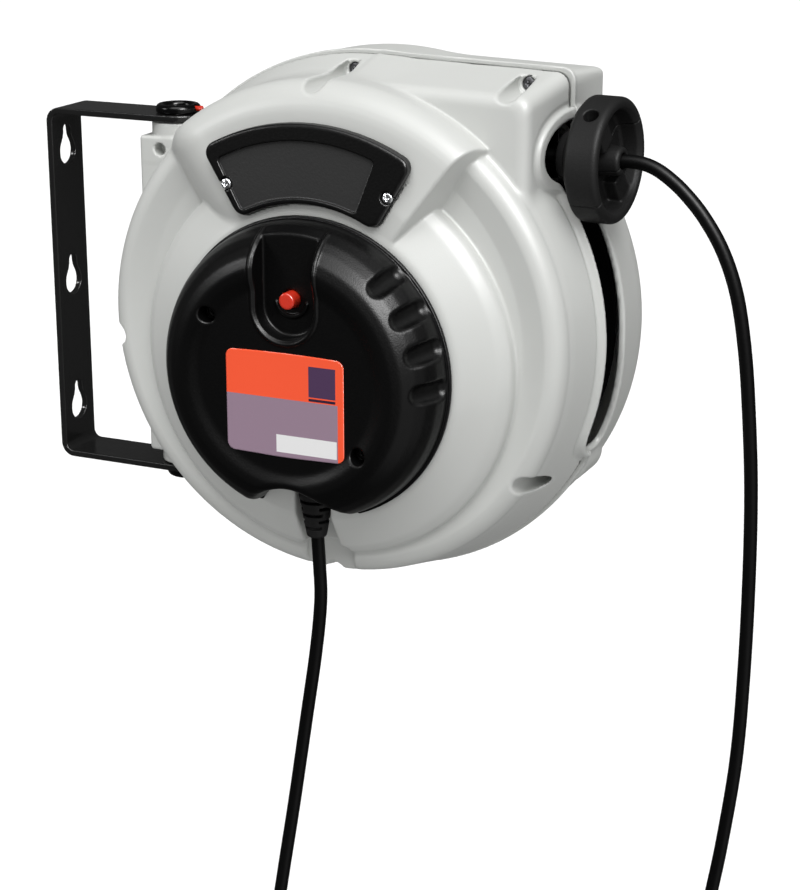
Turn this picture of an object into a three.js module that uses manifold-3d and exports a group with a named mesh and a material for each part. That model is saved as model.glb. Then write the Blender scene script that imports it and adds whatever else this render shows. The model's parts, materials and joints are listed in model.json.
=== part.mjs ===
// Wall-mounted automatic extension cord reel, as an assembly of separate solids.
// Millimetres, +Z up. The origin is on the back face of the wall plate, +X points out of the wall
// and the front of the reel faces -Y. Everything inside the reel is laid out around the drum axis,
// which runs along Y, and is moved to its place by one group.

import * as THREE from 'three';
import { mergeVertices } from 'three/addons/utils/BufferGeometryUtils.js';
import Module from 'manifold-3d';

const wasm = await Module();
wasm.setup();

// ---- driving dimensions ----
const GAP = 0.3;                 // clearance between neighbouring solids
const WALL = 3;                  // moulded wall thickness

const HOUSING_R = 159.5;         // flange radius at the parting plane
const SHOULDER_R = 147;          // outer radius at the front shoulder
const STEP_R = 118;              // radius of the raised step around the cap
const STEP_Y = -66;
const NOSE_Y = -82;              // front wall, behind the cap
const SHELL_FRONT_Y = -60;
const REAR_Y = 72;
const BLOCK_X = 128;             // right face of the square corner at the parting plane
const BLOCK_DRAFT = 9;           // how far that face leans in over the front shell's depth
const BLOCK_REAR_Y = 58;         // the corner's back face
const PART = GAP / 2;            // half of the gap at the parting plane

const CAP_Z = -13.6;             // centre of the cap, below the drum axis
const CAP_R = 90;
const CAP_FRONT_Y = -117.5;

const PIVOT_X = -131;            // swivel axis
const PLATE_X = -217;            // back face of the wall plate
const BRACKET_HALF = 114.5;      // half the height of the bracket
const STRIP = 4;                 // bracket strip thickness
const STRIP_W = 35;

const SHAFT_R = 8;
const CORE_R = 80;               // drum winding core
const FRONT_FLANGE_R = 130;
const REAR_FLANGE_R = 146;       // behind the screw posts it reaches nearly to the wall
const CORD_D = 8;
const CORD_Z = 107;              // height of the outgoing cord above the drum axis
const CORD_Y = -7.5;
const PACK_R = CORD_Z - CORD_D / 2 - 0.5;
const MOUTH_Z = 109.5;           // centre of the oval cord mouth, on the parting plane
const MOUTH_WIDE = 33;           // half of its width, along Y
const MOUTH_HIGH = 18.7;         // half of its height
const SLOT_Y = [-16, 13];        // the cord slot in the drum wall, below the mouth
const SLOT_DEGREES = [-26, 36];
const DRUM_FRONT = -44;
const DRUM_REAR = 36;

const STOPPER_R = 36;
const STOPPER_X = [126, 142, 160.5, 162];   // nose, back of rim, front of rim, hub
const DISH_X = 148;              // floor of the dish in the stopper's front

const BOOT_Y = -76;
const BOOT_TOP = -80.5;
const BOOT_END = -119;
const COIL_R = 41;
const COIL_CENTRE = [14, -76, -424];

const SIDES = 36;                // facets of a large round
const SMALL = 14;                // facets of a small round

// ---- materials ----
const finish = (color, roughness, metalness = 0) =>
  new THREE.MeshStandardMaterial({ color, roughness, metalness });
const GREY_ABS = finish(0xc3c4c0, 0.45);
const BLACK_PLASTIC = finish(0x17181a, 0.45);
const DARK_PLASTIC = finish(0x2a2c2e, 0.6);
const BLACK_STEEL = finish(0x0d0e10, 0.3, 0.4);
const RUBBER = finish(0x1a1b1d, 0.75);
const CABLE = finish(0x111214, 0.5);
const RED_PLASTIC = finish(0xcf2f1c, 0.4);
const LABEL = finish(0xff5a36, 0.4);
const ZINC = finish(0xb8babd, 0.35, 0.9);
const BRASS = finish(0xb58a3c, 0.35, 1);
const COPPER = finish(0xb06a42, 0.35, 1);
const SPRING_STEEL = finish(0x5b6068, 0.35, 1);
const CARBON = finish(0x24262a, 0.7);
const WHITE_NYLON = finish(0xe6e4dc, 0.5);

// ---- solid helpers ----
function solid(geometry) {
  const bare = geometry.clone();
  for (const name of Object.keys(bare.attributes)) {
    if (name !== 'position') bare.deleteAttribute(name);
  }
  const merged = mergeVertices(bare, 1e-3);
  const index = merged.index.array;
  const point = merged.attributes.position;
  const corners = [];
  for (let i = 0; i < index.length; i += 3) {
    const [a, b, c] = [index[i], index[i + 1], index[i + 2]];
    if (a !== b && b !== c && c !== a) corners.push(a, b, c);
  }
  let volume = 0;
  const [p, q, r] = [new THREE.Vector3(), new THREE.Vector3(), new THREE.Vector3()];
  for (let i = 0; i < corners.length; i += 3) {
    p.fromBufferAttribute(point, corners[i]);
    q.fromBufferAttribute(point, corners[i + 1]);
    r.fromBufferAttribute(point, corners[i + 2]);
    volume += p.dot(q.cross(r));
  }
  if (volume < 0) corners.reverse();
  return new wasm.Manifold(new wasm.Mesh({
    numProp: 3,
    vertProperties: new Float32Array(point.array),
    triVerts: new Uint32Array(corners),
  }));
}

const join = (...solids) => solids.reduce((all, next) => all.add(next));
const cut = (body, ...tools) => tools.reduce((left, tool) => left.subtract(tool), body);

// Box from its lowest to its highest corner.
function block(low, high) {
  const size = high.map((value, i) => value - low[i]);
  const geometry = new THREE.BoxGeometry(...size);
  geometry.translate(...low.map((value, i) => value + size[i] / 2));
  return solid(geometry);
}

// Solid of revolution. Profile points are [radius, station along the axis].
function turned(profile, sides = SMALL, axis = 'y', centre = [0, 0, 0]) {
  const points = profile.map(([radius, station]) => new THREE.Vector2(radius, station));
  const onAxis = profile[0][0] === 0 && profile[profile.length - 1][0] === 0;
  if (!onAxis) points.push(points[0].clone());
  const geometry = new THREE.LatheGeometry(points, sides);
  if (axis === 'x') geometry.rotateZ(-Math.PI / 2);
  if (axis === 'z') geometry.rotateX(Math.PI / 2);
  geometry.translate(...centre);
  return solid(geometry);
}

const rod = (radius, from, to, axis, centre, sides = SMALL) =>
  turned([[0, from], [radius, from], [radius, to], [0, to]], sides, axis, centre);
const tube = (inner, outer, from, to, axis, centre, sides = SMALL) =>
  turned([[inner, from], [outer, from], [outer, to], [inner, to]], sides, axis, centre);

// Outline in X and Z, extruded along Y from one station to the other.
function slab(outline, yFrom, yTo, curveSegments = 8) {
  const shape = Array.isArray(outline)
    ? new THREE.Shape(outline.map(([x, z]) => new THREE.Vector2(x, z))) : outline;
  const options = { depth: yTo - yFrom, bevelEnabled: false, curveSegments };
  const geometry = new THREE.ExtrudeGeometry(shape, options);
  geometry.rotateX(Math.PI / 2);
  geometry.translate(0, yTo, 0);
  return geometry;
}

// A slab whose right and top faces lean in towards the front.
function drafted(outline, yFrom, yTo) {
  const geometry = slab(outline, yFrom, yTo);
  const point = geometry.attributes.position;
  for (let i = 0; i < point.count; i += 1) {
    const lean = BLOCK_DRAFT * Math.max(0, -point.getY(i)) / -SHELL_FRONT_Y;
    if (point.getX(i) > 100) point.setX(i, point.getX(i) - lean);
    if (point.getZ(i) > 130) point.setZ(i, point.getZ(i) - lean);
  }
  return solid(geometry);
}

// Sector of a ring between two radii and two angles, as a closed outline.
function sectorShape(inner, outer, fromDeg, toDeg, centreZ = 0) {
  const [from, to] = [THREE.MathUtils.degToRad(fromDeg), THREE.MathUtils.degToRad(toDeg)];
  const shape = new THREE.Shape();
  shape.absarc(0, centreZ, outer, from, to, false);
  shape.absarc(0, centreZ, inner, to, from, true);
  shape.closePath();
  return shape;
}

function polar(radius, degrees, centreZ = 0) {
  const angle = THREE.MathUtils.degToRad(degrees);
  return [radius * Math.cos(angle), centreZ + radius * Math.sin(angle)];
}

// Round cord along a smooth route.
function cord(points, radius, steps, sides = 8) {
  const section = new THREE.Shape();
  for (let i = 0; i < sides; i += 1) {
    const angle = 2 * Math.PI * i / sides;
    const [x, y] = [radius * Math.cos(angle), radius * Math.sin(angle)];
    if (i === 0) section.moveTo(x, y);
    else section.lineTo(x, y);
  }
  const path = new THREE.CatmullRomCurve3(points.map((point) => new THREE.Vector3(...point)));
  return solid(new THREE.ExtrudeGeometry(section, { steps, bevelEnabled: false, extrudePath: path }));
}

function meshOf(body) {
  const { vertProperties, triVerts } = body.getMesh();
  const geometry = new THREE.BufferGeometry();
  geometry.setAttribute('position', new THREE.BufferAttribute(vertProperties, 3));
  geometry.setIndex(new THREE.BufferAttribute(triVerts, 1));
  geometry.computeVertexNormals();
  return geometry;
}

const reel = new THREE.Group();
const housing = new THREE.Group();
housing.position.set(-PLATE_X, 0, 38);
reel.add(housing);

function place(name, body, material, group = housing) {
  const mesh = new THREE.Mesh(meshOf(body), material);
  mesh.name = name;
  group.add(mesh);
}

// ---- wall bracket and swivel ----
function wallBracket() {
  const reach = PIVOT_X + STRIP_W / 2;
  const half = BRACKET_HALF;
  const bend = 9;
  const outline = new THREE.Shape();
  outline.moveTo(reach, half);
  outline.lineTo(PLATE_X + bend, half);
  outline.absarc(PLATE_X + bend, half - bend, bend, Math.PI / 2, Math.PI, false);
  outline.lineTo(PLATE_X, -half + bend);
  outline.absarc(PLATE_X + bend, -half + bend, bend, Math.PI, 1.5 * Math.PI, false);
  outline.lineTo(reach, -half);
  outline.lineTo(reach, -half + STRIP);
  outline.lineTo(PLATE_X + bend, -half + STRIP);
  outline.absarc(PLATE_X + bend, -half + bend, bend - STRIP, 1.5 * Math.PI, Math.PI, true);
  outline.lineTo(PLATE_X + STRIP, half - bend);
  outline.absarc(PLATE_X + bend, half - bend, bend - STRIP, Math.PI, Math.PI / 2, true);
  outline.lineTo(reach, half - STRIP);
  outline.closePath();
  const strip = solid(slab(outline, -STRIP_W / 2, STRIP_W / 2, 5));
  const plan = join(
    block([PLATE_X - 1, -STRIP_W / 2, -half - 1], [PIVOT_X, STRIP_W / 2, half + 1]),
    rod(STRIP_W / 2, -half - 1, half + 1, 'z', [PIVOT_X, 0, 0], 20),
  );
  let body = strip.intersect(plan);
  body = cut(body, rod(5.5, -half - 2, half + 2, 'z', [PIVOT_X, 0, 0]));
  for (const z of [89, 4.5, -80]) {
    const round = rod(8.5, PLATE_X - 2, PLATE_X + STRIP + 2, 'x', [0, 0, z - 4.5]);
    const neck = block([PLATE_X - 2, -4.5, z - 4], [PLATE_X + STRIP + 2, 4.5, z + 9]);
    const neckEnd = rod(4.5, PLATE_X - 2, PLATE_X + STRIP + 2, 'x', [0, 0, z + 9], 16);
    body = cut(body, join(round, neck, neckEnd));
  }
  return body;
}

place('wall_bracket', wallBracket(), BLACK_STEEL);

const PIVOT_ENDS = [['upper', 1], ['lower', -1]];
const LOCK_Z = 117.6;
for (const [name, side] of PIVOT_ENDS) {
  const pin = turned([[0, side * 86], [4.8, side * 86], [4.8, side * 114.8], [0, side * 114.8]],
    SMALL, 'z', [PIVOT_X, 0, 0]);
  const cap = turned([
    [0, side * 115.1], [14, side * 115.1], [14, side * 118.6], [12.6, side * 120.1],
    [8.6, side * 120.1], [7.6, side * 117.6], [0, side * 117.6],
  ], 20, 'z', [PIVOT_X, 0, 0]);
  place(`${name}_pivot_pin`, pin, ZINC);
  const bored = side > 0 ? cut(cap, rod(2.2, 4, 15.2, 'x', [PIVOT_X, 0, LOCK_Z], 12)) : cap;
  place(`${name}_pivot_cap`, bored, BLACK_PLASTIC);
}

// Spring-loaded pin with a red tip, in a radial hole in the upper cap, that frees the swivel.
place('swivel_lock_pin', turned([
  [0, 8.8], [1.5, 8.8], [1.5, 15], [1.9, 15.4], [1.9, 16.8], [1.2, 17.4], [0, 17.4],
], 12, 'x', [PIVOT_X, 0, LOCK_Z]), RED_PLASTIC);

// ---- housing shells ----
const MAIN_OUTER = [
  [0, -PART], [HOUSING_R, -PART], [HOUSING_R, -8], [SHOULDER_R, -49],
  [143.5, -55], [138, -58.8], [130, SHELL_FRONT_Y], [0, SHELL_FRONT_Y],
];
const MAIN_INNER = [
  [0, 1], [156.3, 1], [156.3, -8], [144, -48], [138.5, -54.5], [130, -57], [0, -57],
];
const STEP_OUTER = [[0, -55], [STEP_R, -55], [STEP_R, STEP_Y], [92, NOSE_Y], [0, NOSE_Y]];
const STEP_INNER = [[0, -56], [113.5, -56], [113.5, -64.5], [87, -78.8], [0, -78.8]];
const FAN_OUTER = [
  [0, -40], [150.5, -40], [150.5, -57], [147, -67], [137, -76], [100, -81.7], [0, NOSE_Y],
];
const FAN_INNER = [[0, -41], [143.5, -41], [143.5, -57], [140, -65], [134, -70], [0, -70]];
const REAR_OUTER = [
  [0, PART], [HOUSING_R, PART], [HOUSING_R, 42], [153, 55], [139, 66], [118, REAR_Y], [0, REAR_Y],
];
const REAR_INNER = [
  [0, -1], [156.3, -1], [156.3, 41], [150.5, 53], [137, 63.3], [117, 69], [0, 69],
];
const BLOCK_OUTLINE = [
  [2, 100], [2, HOUSING_R], [BLOCK_X - 5, 156], [BLOCK_X, 151], [BLOCK_X, 60], [100, 60],
];
const POCKET_OUTLINE = [
  [12, 100], [12, HOUSING_R - 3.5], [BLOCK_X - 6, 152.6], [BLOCK_X - WALL, 149.5],
  [BLOCK_X - WALL, 60], [100, 60],
];
const SCREW_SPOTS = [
  [-3, 150], [106, 148], polar(146, -32), polar(146, 186), [0, -150],
];
const LUG_OUTLINE = [[-149.5, 60], [-149.5, 101], [-114, 101], [-114, 80], [-130, 64]];
const FAN_HALF_ANGLE = 34;

function fanWedge(halfAngle) {
  const [left, right] = [polar(260, 90 + halfAngle, CAP_Z), polar(260, 90 - halfAngle, CAP_Z)];
  return solid(slab([[0, CAP_Z], left, right], -100, 0));
}

// One half of each swivel lug, on one side of the parting plane.
function lugs(yFrom, yTo) {
  const halves = [];
  for (const side of [1, -1]) {
    const outline = LUG_OUTLINE.map(([x, z]) => [x, side * z]);
    const arm = solid(slab(outline, yFrom, yTo));
    const collar = rod(16.5, side * 100, side * 110, 'z', [PIVOT_X, 0, 0], 20)
      .intersect(block([-160, yFrom, -112], [-100, yTo, 112]));
    halves.push(join(arm, collar));
  }
  return join(...halves);
}

function lugHoles() {
  const holes = PIVOT_ENDS.map(([, side]) => join(
    turned([[0, side * 84], [5.3, side * 84], [5.3, side * 111], [0, side * 111]],
      SMALL, 'z', [PIVOT_X, 0, 0]),
    turned([[0, side * 110.2], [19.8, side * 110.2], [19.8, side * 126], [0, side * 126]],
      24, 'z', [PIVOT_X, 0, 0]),
    rod(3.7, -18, -9, 'y', [-137, 0, side * 92], 12),
  ));
  return join(...holes);
}

function mouthOval(grow, from, to) {
  const [wide, high] = [MOUTH_WIDE + grow, MOUTH_HIGH + grow];
  return rod(high, from, to, 'x', [0, 0, 0], 28).scale([1, wide / high, 1]).translate([0, 0, MOUTH_Z]);
}

const mouthHole = () => mouthOval(0, 115.5, 140);

const cordSlot = () => solid(slab(sectorShape(138, 200, ...SLOT_DEGREES), ...SLOT_Y, 6));

// Channel down the front of the lower rim for the inlet cord.
function inletChannel(grow) {
  return join(
    block([-11.5 - grow, -90, -170], [11.5 + grow, -56 + 2 * grow, BOOT_TOP + 4.5 + grow]),
    block([-15.5 - grow, -62, -170], [15.5 + grow, -56 + 2 * grow, -126 + grow]),
  );
}

function coverPocket() {
  return solid(slab(sectorShape(82.6, 129.4, 58.6, 121.4), -95, -76));
}

function frontShell() {
  const outer = join(
    turned(MAIN_OUTER, SIDES),
    turned(STEP_OUTER, SIDES, 'y', [0, 0, CAP_Z]),
    turned(FAN_OUTER, SIDES).intersect(fanWedge(FAN_HALF_ANGLE)),
    drafted(BLOCK_OUTLINE, SHELL_FRONT_Y + 2, -PART),
  );
  const inner = join(
    turned(MAIN_INNER, SIDES),
    turned(STEP_INNER, SIDES, 'y', [0, 0, CAP_Z]),
    turned(FAN_INNER, SIDES).intersect(fanWedge(FAN_HALF_ANGLE - 2)),
    drafted(POCKET_OUTLINE, SHELL_FRONT_Y + 5, 1),
  );
  const posts = SCREW_SPOTS.map(([x, z]) => rod(9, -50, -PART, 'y', [x, 0, z], 10).intersect(outer));
  const channelWall = inletChannel(WALL).intersect(outer)
    .intersect(block([-40, -90, -200], [40, -50, 0]));
  const shaftSocket = rod(14, -80, -66, 'y', [0, 0, 0]);
  let body = join(cut(outer, inner), ...posts, channelWall, shaftSocket, lugs(-17, -PART));
  const screwChannels = SCREW_SPOTS.map(([x, z]) => join(
    rod(5.5, -75, -14, 'y', [x, 0, z], 10),
    rod(2.6, -20, 1, 'y', [x, 0, z], 8),
  ));
  body = cut(body, ...screwChannels, cordSlot(), mouthHole());
  body = cut(body, lugHoles(), inletChannel(0), coverPocket());
  body = cut(body, rod(SHAFT_R + GAP, -79, -60, 'y', [0, 0, 0]));
  for (const [x, z] of [[-51, 91], [51, 91]]) {
    body = cut(body, rod(1.8, -90, -60, 'y', [x, 0, z], 12));
  }
  return cut(body, rod(2.4, -79, -60, 'y', [-89, 0, -32], 12));
}

function rearShell() {
  const outer = join(turned(REAR_OUTER, SIDES), solid(slab(BLOCK_OUTLINE, PART, BLOCK_REAR_Y)));
  const inner = join(turned(REAR_INNER, SIDES), solid(slab(POCKET_OUTLINE, -1, BLOCK_REAR_Y - WALL)));
  const posts = SCREW_SPOTS.map(([x, z]) => rod(11, PART, 30, 'y', [x, 0, z], 10).intersect(outer));
  const hub = rod(16, 62.3, 70, 'y', [0, 0, 0]);
  const screwHoles = SCREW_SPOTS.map(([x, z]) => rod(2.6, -1, 25, 'y', [x, 0, z], 8));
  const body = join(cut(outer, inner), ...posts, hub, lugs(PART, 17));
  return cut(body, ...screwHoles, cordSlot(), mouthHole(), lugHoles(),
    rod(SHAFT_R + GAP, 55, 80, 'y', [0, 0, 0]));
}

place('front_shell', frontShell(), GREY_ABS);
place('rear_shell', rearShell(), GREY_ABS);

SCREW_SPOTS.forEach(([x, z], i) => {
  const screw = turned([[0, -18.5], [4.3, -17.5], [4.3, -14.3], [2, -14.3], [2, 23], [0, 24]],
    8, 'y', [x, 0, z]);
  place(`shell_screw_${i + 1}`, screw, ZINC);
});

// ---- cap, breaker and reset button ----
const BUTTON_Z = CAP_Z + 46;

function scallop(radius) {
  return rod(radius, -130, -70, 'y', [0, 0, CAP_Z - 98], 32);
}

function recessOutline(half, bottom, top) {
  const shape = new THREE.Shape();
  shape.moveTo(half, top);
  shape.lineTo(-half, top);
  shape.lineTo(-half, bottom + half);
  shape.absarc(0, bottom + half, half, Math.PI, 2 * Math.PI, false);
  shape.closePath();
  return shape;
}

function centreCap() {
  const face = CAP_FRONT_Y;
  const outer = cut(turned([
    [0, -82.6], [CAP_R, -82.6], [CAP_R, -85.6], [88, -86.6], [76.5, -110.5], [74, -114.5],
    [70, face + 1], [66, face], [61, face + 1.2], [57.5, -114.2], [0, -114.2],
  ], SIDES, 'y', [0, 0, CAP_Z]), scallop(33));
  const inner = cut(turned([
    [0, -80], [80.5, -80], [80.5, -88], [70, -107], [0, -107],
  ], SIDES, 'y', [0, 0, CAP_Z]), scallop(39));
  const tray = solid(slab(recessOutline(21.5, CAP_Z + 20, 74), -111, -100.7, 10));
  const recess = solid(slab(recessOutline(18.3, CAP_Z + 24, 90), -130, -103.7, 10));
  let body = join(cut(outer, inner), tray.intersect(outer));
  body = cut(body, recess, rod(5.9, -110, -95, 'y', [0, 0, BUTTON_Z]));
  for (const degrees of [0, 15.6, 31, 46.6]) {
    const [x, z] = polar(87.5, degrees, CAP_Z);
    body = cut(body, rod(5.2, -108, -86.2, 'y', [x, 0, z], 12));
  }
  for (const degrees of [145, -40]) {
    const [x, z] = polar(60, degrees, CAP_Z);
    body = join(body, rod(7.5, -110, -101, 'y', [x, 0, z], 14));
    body = cut(body, rod(4.4, -120, -105, 'y', [x, 0, z]), rod(2.2, -115, -100, 'y', [x, 0, z], 12));
  }
  return body;
}

place('centre_cap', centreCap(), BLACK_PLASTIC);
[['left', 145], ['right', -40]].forEach(([name, degrees]) => {
  const [x, z] = polar(60, degrees, CAP_Z);
  place(`cap_screw_${name}`, turned([
    [0, -107.4], [3.8, -107], [3.8, -105.3], [1.8, -105.3], [1.8, -84], [0, -84],
  ], 14, 'y', [x, 0, z]), BLACK_STEEL);
});

function ratingLabel() {
  const [w, h, r] = [37.5, 30, 5];
  const z = CAP_Z - 14;
  const shape = new THREE.Shape();
  shape.absarc(w - r, z + h - r, r, 0, Math.PI / 2, false);
  shape.absarc(-w + r, z + h - r, r, Math.PI / 2, Math.PI, false);
  shape.absarc(-w + r, z - h + r, r, Math.PI, 1.5 * Math.PI, false);
  shape.absarc(w - r, z - h + r, r, 1.5 * Math.PI, 2 * Math.PI, false);
  return solid(slab(shape, -115.1, -114.5, 4));
}

place('rating_label', ratingLabel(), LABEL);
place('reset_button', turned([
  [0, -112], [3.6, -111.6], [5.5, -109.8], [5.5, -100.3], [7.6, -100.3], [7.6, -98.8], [0, -98.8],
], SMALL, 'y', [0, 0, BUTTON_Z]), RED_PLASTIC);
place('thermal_breaker', cut(
  block([-9, -95.4, BUTTON_Z - 16], [9, -83, BUTTON_Z + 14]),
  block([-3, -96, BUTTON_Z - 13], [3, -92, BUTTON_Z - 9]),
), DARK_PLASTIC);

// ---- arc cover ----
function arcCover() {
  const body = solid(slab(sectorShape(83, 129, 59, 121), -87, -76.4));
  const panel = solid(slab(sectorShape(87, 119, 68.5, 118), -90, -85.6));
  const screwHoles = [-51, 51].map((x) => join(
    rod(3.6, -90, -84, 'y', [x, 0, 91], 14), rod(1.8, -90, -60, 'y', [x, 0, 91], 12)));
  return cut(body, panel, ...screwHoles);
}

place('arc_cover', arcCover(), BLACK_PLASTIC);
[['left', -51], ['right', 51]].forEach(([name, x]) => {
  place(`arc_cover_screw_${name}`, turned([
    [0, -86.4], [3.2, -86], [3.2, -84.3], [1.4, -84.3], [1.4, -68], [0, -67],
  ], 14, 'y', [x, 0, 91]), ZINC);
});

// ---- shaft, terminals and brushes, fixed in the shells ----
place('main_shaft', join(
  rod(SHAFT_R, -78.7, REAR_Y + 2, 'y', [0, 0, 0], 24),
  rod(15, REAR_Y + GAP, REAR_Y + 7, 'y', [0, 0, 0], 6),
), ZINC);

place('terminal_block', cut(
  block([-17, -96, -56], [17, -83, -42]),
  ...[-11, 0, 11].map((x) => rod(2.6, -100, -90, 'y', [x, 0, -49], 12)),
), WHITE_NYLON);

const RING_Y = [-63, -57.5, -52];
place('brush_holder', cut(
  block([-12, -78.4, 47], [12, -48.4, 62]),
  ...RING_Y.map((y) => block([-3.3, y - 1.7, 40], [3.3, y + 1.7, 70])),
), DARK_PLASTIC);
RING_Y.forEach((y, i) => {
  place(`brush_${i + 1}`, block([-3, y - 1.4, 44.6], [3, y + 1.4, 58]), CARBON);
  place(`slip_ring_${i + 1}`, tube(36.6, 44, y - 1.6, y + 1.6, 'y', [0, 0, 0], 24), COPPER);
});

place('slip_ring_carrier', tube(13.2, 36.2, -65, -38.4, 'y', [0, 0, 0], 24), DARK_PLASTIC);

// ---- ratchet ----
const PAWL_PIVOT = [-89, -32];
const TOOTH_STEP = 10;

function ratchetRing() {
  const [root, tip, bore] = [66, 72, 54];
  const outline = new THREE.Shape();
  const toothed = (degrees) => (degrees >= 126 && degrees < 186) || (degrees >= 306 && degrees < 366);
  outline.moveTo(...polar(root, 6));
  for (let degrees = 6; degrees < 366; degrees += TOOTH_STEP) {
    if (toothed(degrees)) {
      outline.lineTo(...polar(tip, degrees));
      outline.lineTo(...polar(root, degrees + TOOTH_STEP - 0.6));
    } else {
      outline.lineTo(...polar(root, degrees + TOOTH_STEP / 2));
    }
    outline.lineTo(...polar(root, degrees + TOOTH_STEP));
  }
  return cut(solid(slab(outline, -48, -44.3)), rod(bore, -60, -30, 'y', [0, 0, 0], 24));
}

function pawl() {
  const [px, pz] = PAWL_PIVOT;
  const [nx, nz] = polar(68.5, 190);
  const lever = solid(slab([
    [px - 3, pz + 5], [nx - 3, nz + 4.5], [nx + 0.5, nz + 1], [nx + 1.5, nz - 2.5], [px + 4, pz - 5],
  ], -48, -44.6));
  const eye = rod(7, -56, -44.6, 'y', [px, 0, pz], 18);
  return cut(join(lever, eye), rod(2.9, -70, -40, 'y', [px, 0, pz], 14));
}

place('ratchet_ring', ratchetRing(), DARK_PLASTIC);
place('ratchet_pawl', pawl(), ZINC);
place('pawl_pin', rod(2.1, -78.5, -44.8, 'y', [PAWL_PIVOT[0], 0, PAWL_PIVOT[1]], 14), ZINC);

// ---- drum ----
place('drum_core', turned([
  [CORE_R - 0.5, DRUM_FRONT + 3.3], [CORE_R - 0.5, DRUM_REAR - 3.3], [CORE_R - 4, DRUM_REAR - 3.3],
  [CORE_R - 4, -35], [13.2, -35], [13.2, -38], [CORE_R - 4, -38], [CORE_R - 4, DRUM_FRONT + 3.3],
], SIDES), DARK_PLASTIC);
const FLANGES = [['front', DRUM_FRONT, FRONT_FLANGE_R], ['rear', DRUM_REAR - 3, REAR_FLANGE_R]];
for (const [name, from, radius] of FLANGES) {
  place(`drum_${name}_flange`, turned([
    [60, from], [radius, from], [radius, from + 3], [60, from + 3],
  ], SIDES), DARK_PLASTIC);
}
place('front_bush', turned([[SHAFT_R + GAP, -64], [11.8, -64], [11.8, -38.4], [12.9, -38.4],
  [12.9, -34], [SHAFT_R + GAP, -34]]), WHITE_NYLON);
place('rear_bush', turned([[SHAFT_R + GAP, 40], [11, 40], [11, 57], [13.7, 57],
  [13.7, 62], [SHAFT_R + GAP, 62]]), WHITE_NYLON);
place('spring_case', turned([
  [14, 58], [98, 58], [98, DRUM_REAR + GAP], [100, DRUM_REAR + GAP], [100, 60], [14, 60],
], SIDES), DARK_PLASTIC);
place('spring_cover', turned([
  [14, DRUM_REAR + 1], [97.5, DRUM_REAR + 1], [97.5, DRUM_REAR + 3], [14, DRUM_REAR + 3],
], SIDES), DARK_PLASTIC);

// Flat spiral mainspring, loose coils between its arbor and the spring case.
function powerSpring() {
  const [turns, inner, outer, strip] = [4, 16, 96, 1.4];
  const perTurn = 14;
  const edge = (offset) => Array.from({ length: turns * perTurn + 1 }, (_, i) => {
    const radius = inner + (outer - inner - strip) * i / (turns * perTurn) + offset;
    return polar(radius, 360 * i / perTurn);
  });
  return solid(slab([...edge(strip), ...edge(0).reverse()], 40, 57));
}

place('power_spring', powerSpring(), SPRING_STEEL);
place('wound_cable', turned([
  [CORE_R, DRUM_FRONT + 3.3], [PACK_R, DRUM_FRONT + 3.3],
  [PACK_R, DRUM_REAR - 3.3], [CORE_R, DRUM_REAR - 3.3],
], SIDES), CABLE);

// ---- cable mouth ----
const ROLLER_X = 106;
const ROLLER_R = 6;
const ROLLER_OFFSET = CORD_D / 2 + 0.4 + ROLLER_R;
const FRAME_Y = [CORD_Y - 19.5, CORD_Y + 16.5];

// Oval sleeve behind the mouth, with the two cheeks that carry the guide rollers.
function mouthRing() {
  const [sleeveBack, sleeveFront] = [116, 121];
  const sleeve = mouthOval(-GAP, sleeveBack, sleeveFront);
  const cheeks = FRAME_Y.map((y) =>
    block([99, y, CORD_Z - 17], [sleeveBack + WALL, y + WALL, CORD_Z + 19]));
  const holes = [1, -1].map((side) =>
    rod(2.4, -60, 40, 'y', [ROLLER_X, 0, CORD_Z + side * ROLLER_OFFSET], 14));
  return cut(join(sleeve, ...cheeks), mouthOval(-WALL, sleeveBack - PART, sleeveFront + 1), ...holes);
}

place('mouth_ring', mouthRing(), BLACK_PLASTIC);
for (const [name, side] of [['upper', 1], ['lower', -1]]) {
  const [inside, outside] = [FRAME_Y[0] + WALL + GAP, FRAME_Y[1] - GAP];
  place(`guide_roller_${name}`, turned([
    [0, inside - WALL], [1.9, inside - WALL], [1.9, inside], [ROLLER_R, inside], [ROLLER_R, outside],
    [1.9, outside], [1.9, outside + WALL], [0, outside + WALL],
  ], SMALL, 'y', [ROLLER_X, 0, CORD_Z + side * ROLLER_OFFSET]), DARK_PLASTIC);
}

// ---- cord stopper, in two halves clamped on the cord ----
const SPLIT_DEGREES = 38;        // tilt of the joint between the halves
const CLAMP_X = 151;             // both clamp screws lie in this plane and press on the cord
const CLAMP_SEAT = 24;           // where a clamp screw's head seats

// Turns a solid made around the stopper's centre, with the split level, to its place.
const tilted = (body) => body.rotate([SPLIT_DEGREES, 0, 0]).translate([0, CORD_Y, CORD_Z]);

function clampHole(side) {
  const centre = [CLAMP_X, 0, 0];
  return join(
    rod(4.3, side * CLAMP_SEAT, side * 50, 'z', centre, 16),
    rod(1.8, side * 3, side * CLAMP_SEAT, 'z', centre, 12),
  );
}

function stopper() {
  const [nose, back, front, hub] = STOPPER_X;
  const disc = turned([
    [CORD_D / 2 + 0.8, nose], [14, nose], [17, nose + 7], [30, nose + 12.5], [STOPPER_R, back],
    [STOPPER_R, front - 1.5], [STOPPER_R - 1.5, front], [STOPPER_R - 3.5, front],
    [STOPPER_R - 5.5, DISH_X], [9, DISH_X], [8, hub], [CORD_D / 2 + 0.8, hub],
  ], 24, 'x', [0, 0, 0]);
  const bosses = [1, -1].map((side) => {
    const ends = [side * 8, side * (STOPPER_R - 4)];
    return block([DISH_X - 1, -6, Math.min(...ends)], [CLAMP_X + 5.5, 6, Math.max(...ends)]);
  });
  return cut(join(disc, ...bosses), clampHole(1), clampHole(-1));
}

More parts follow.
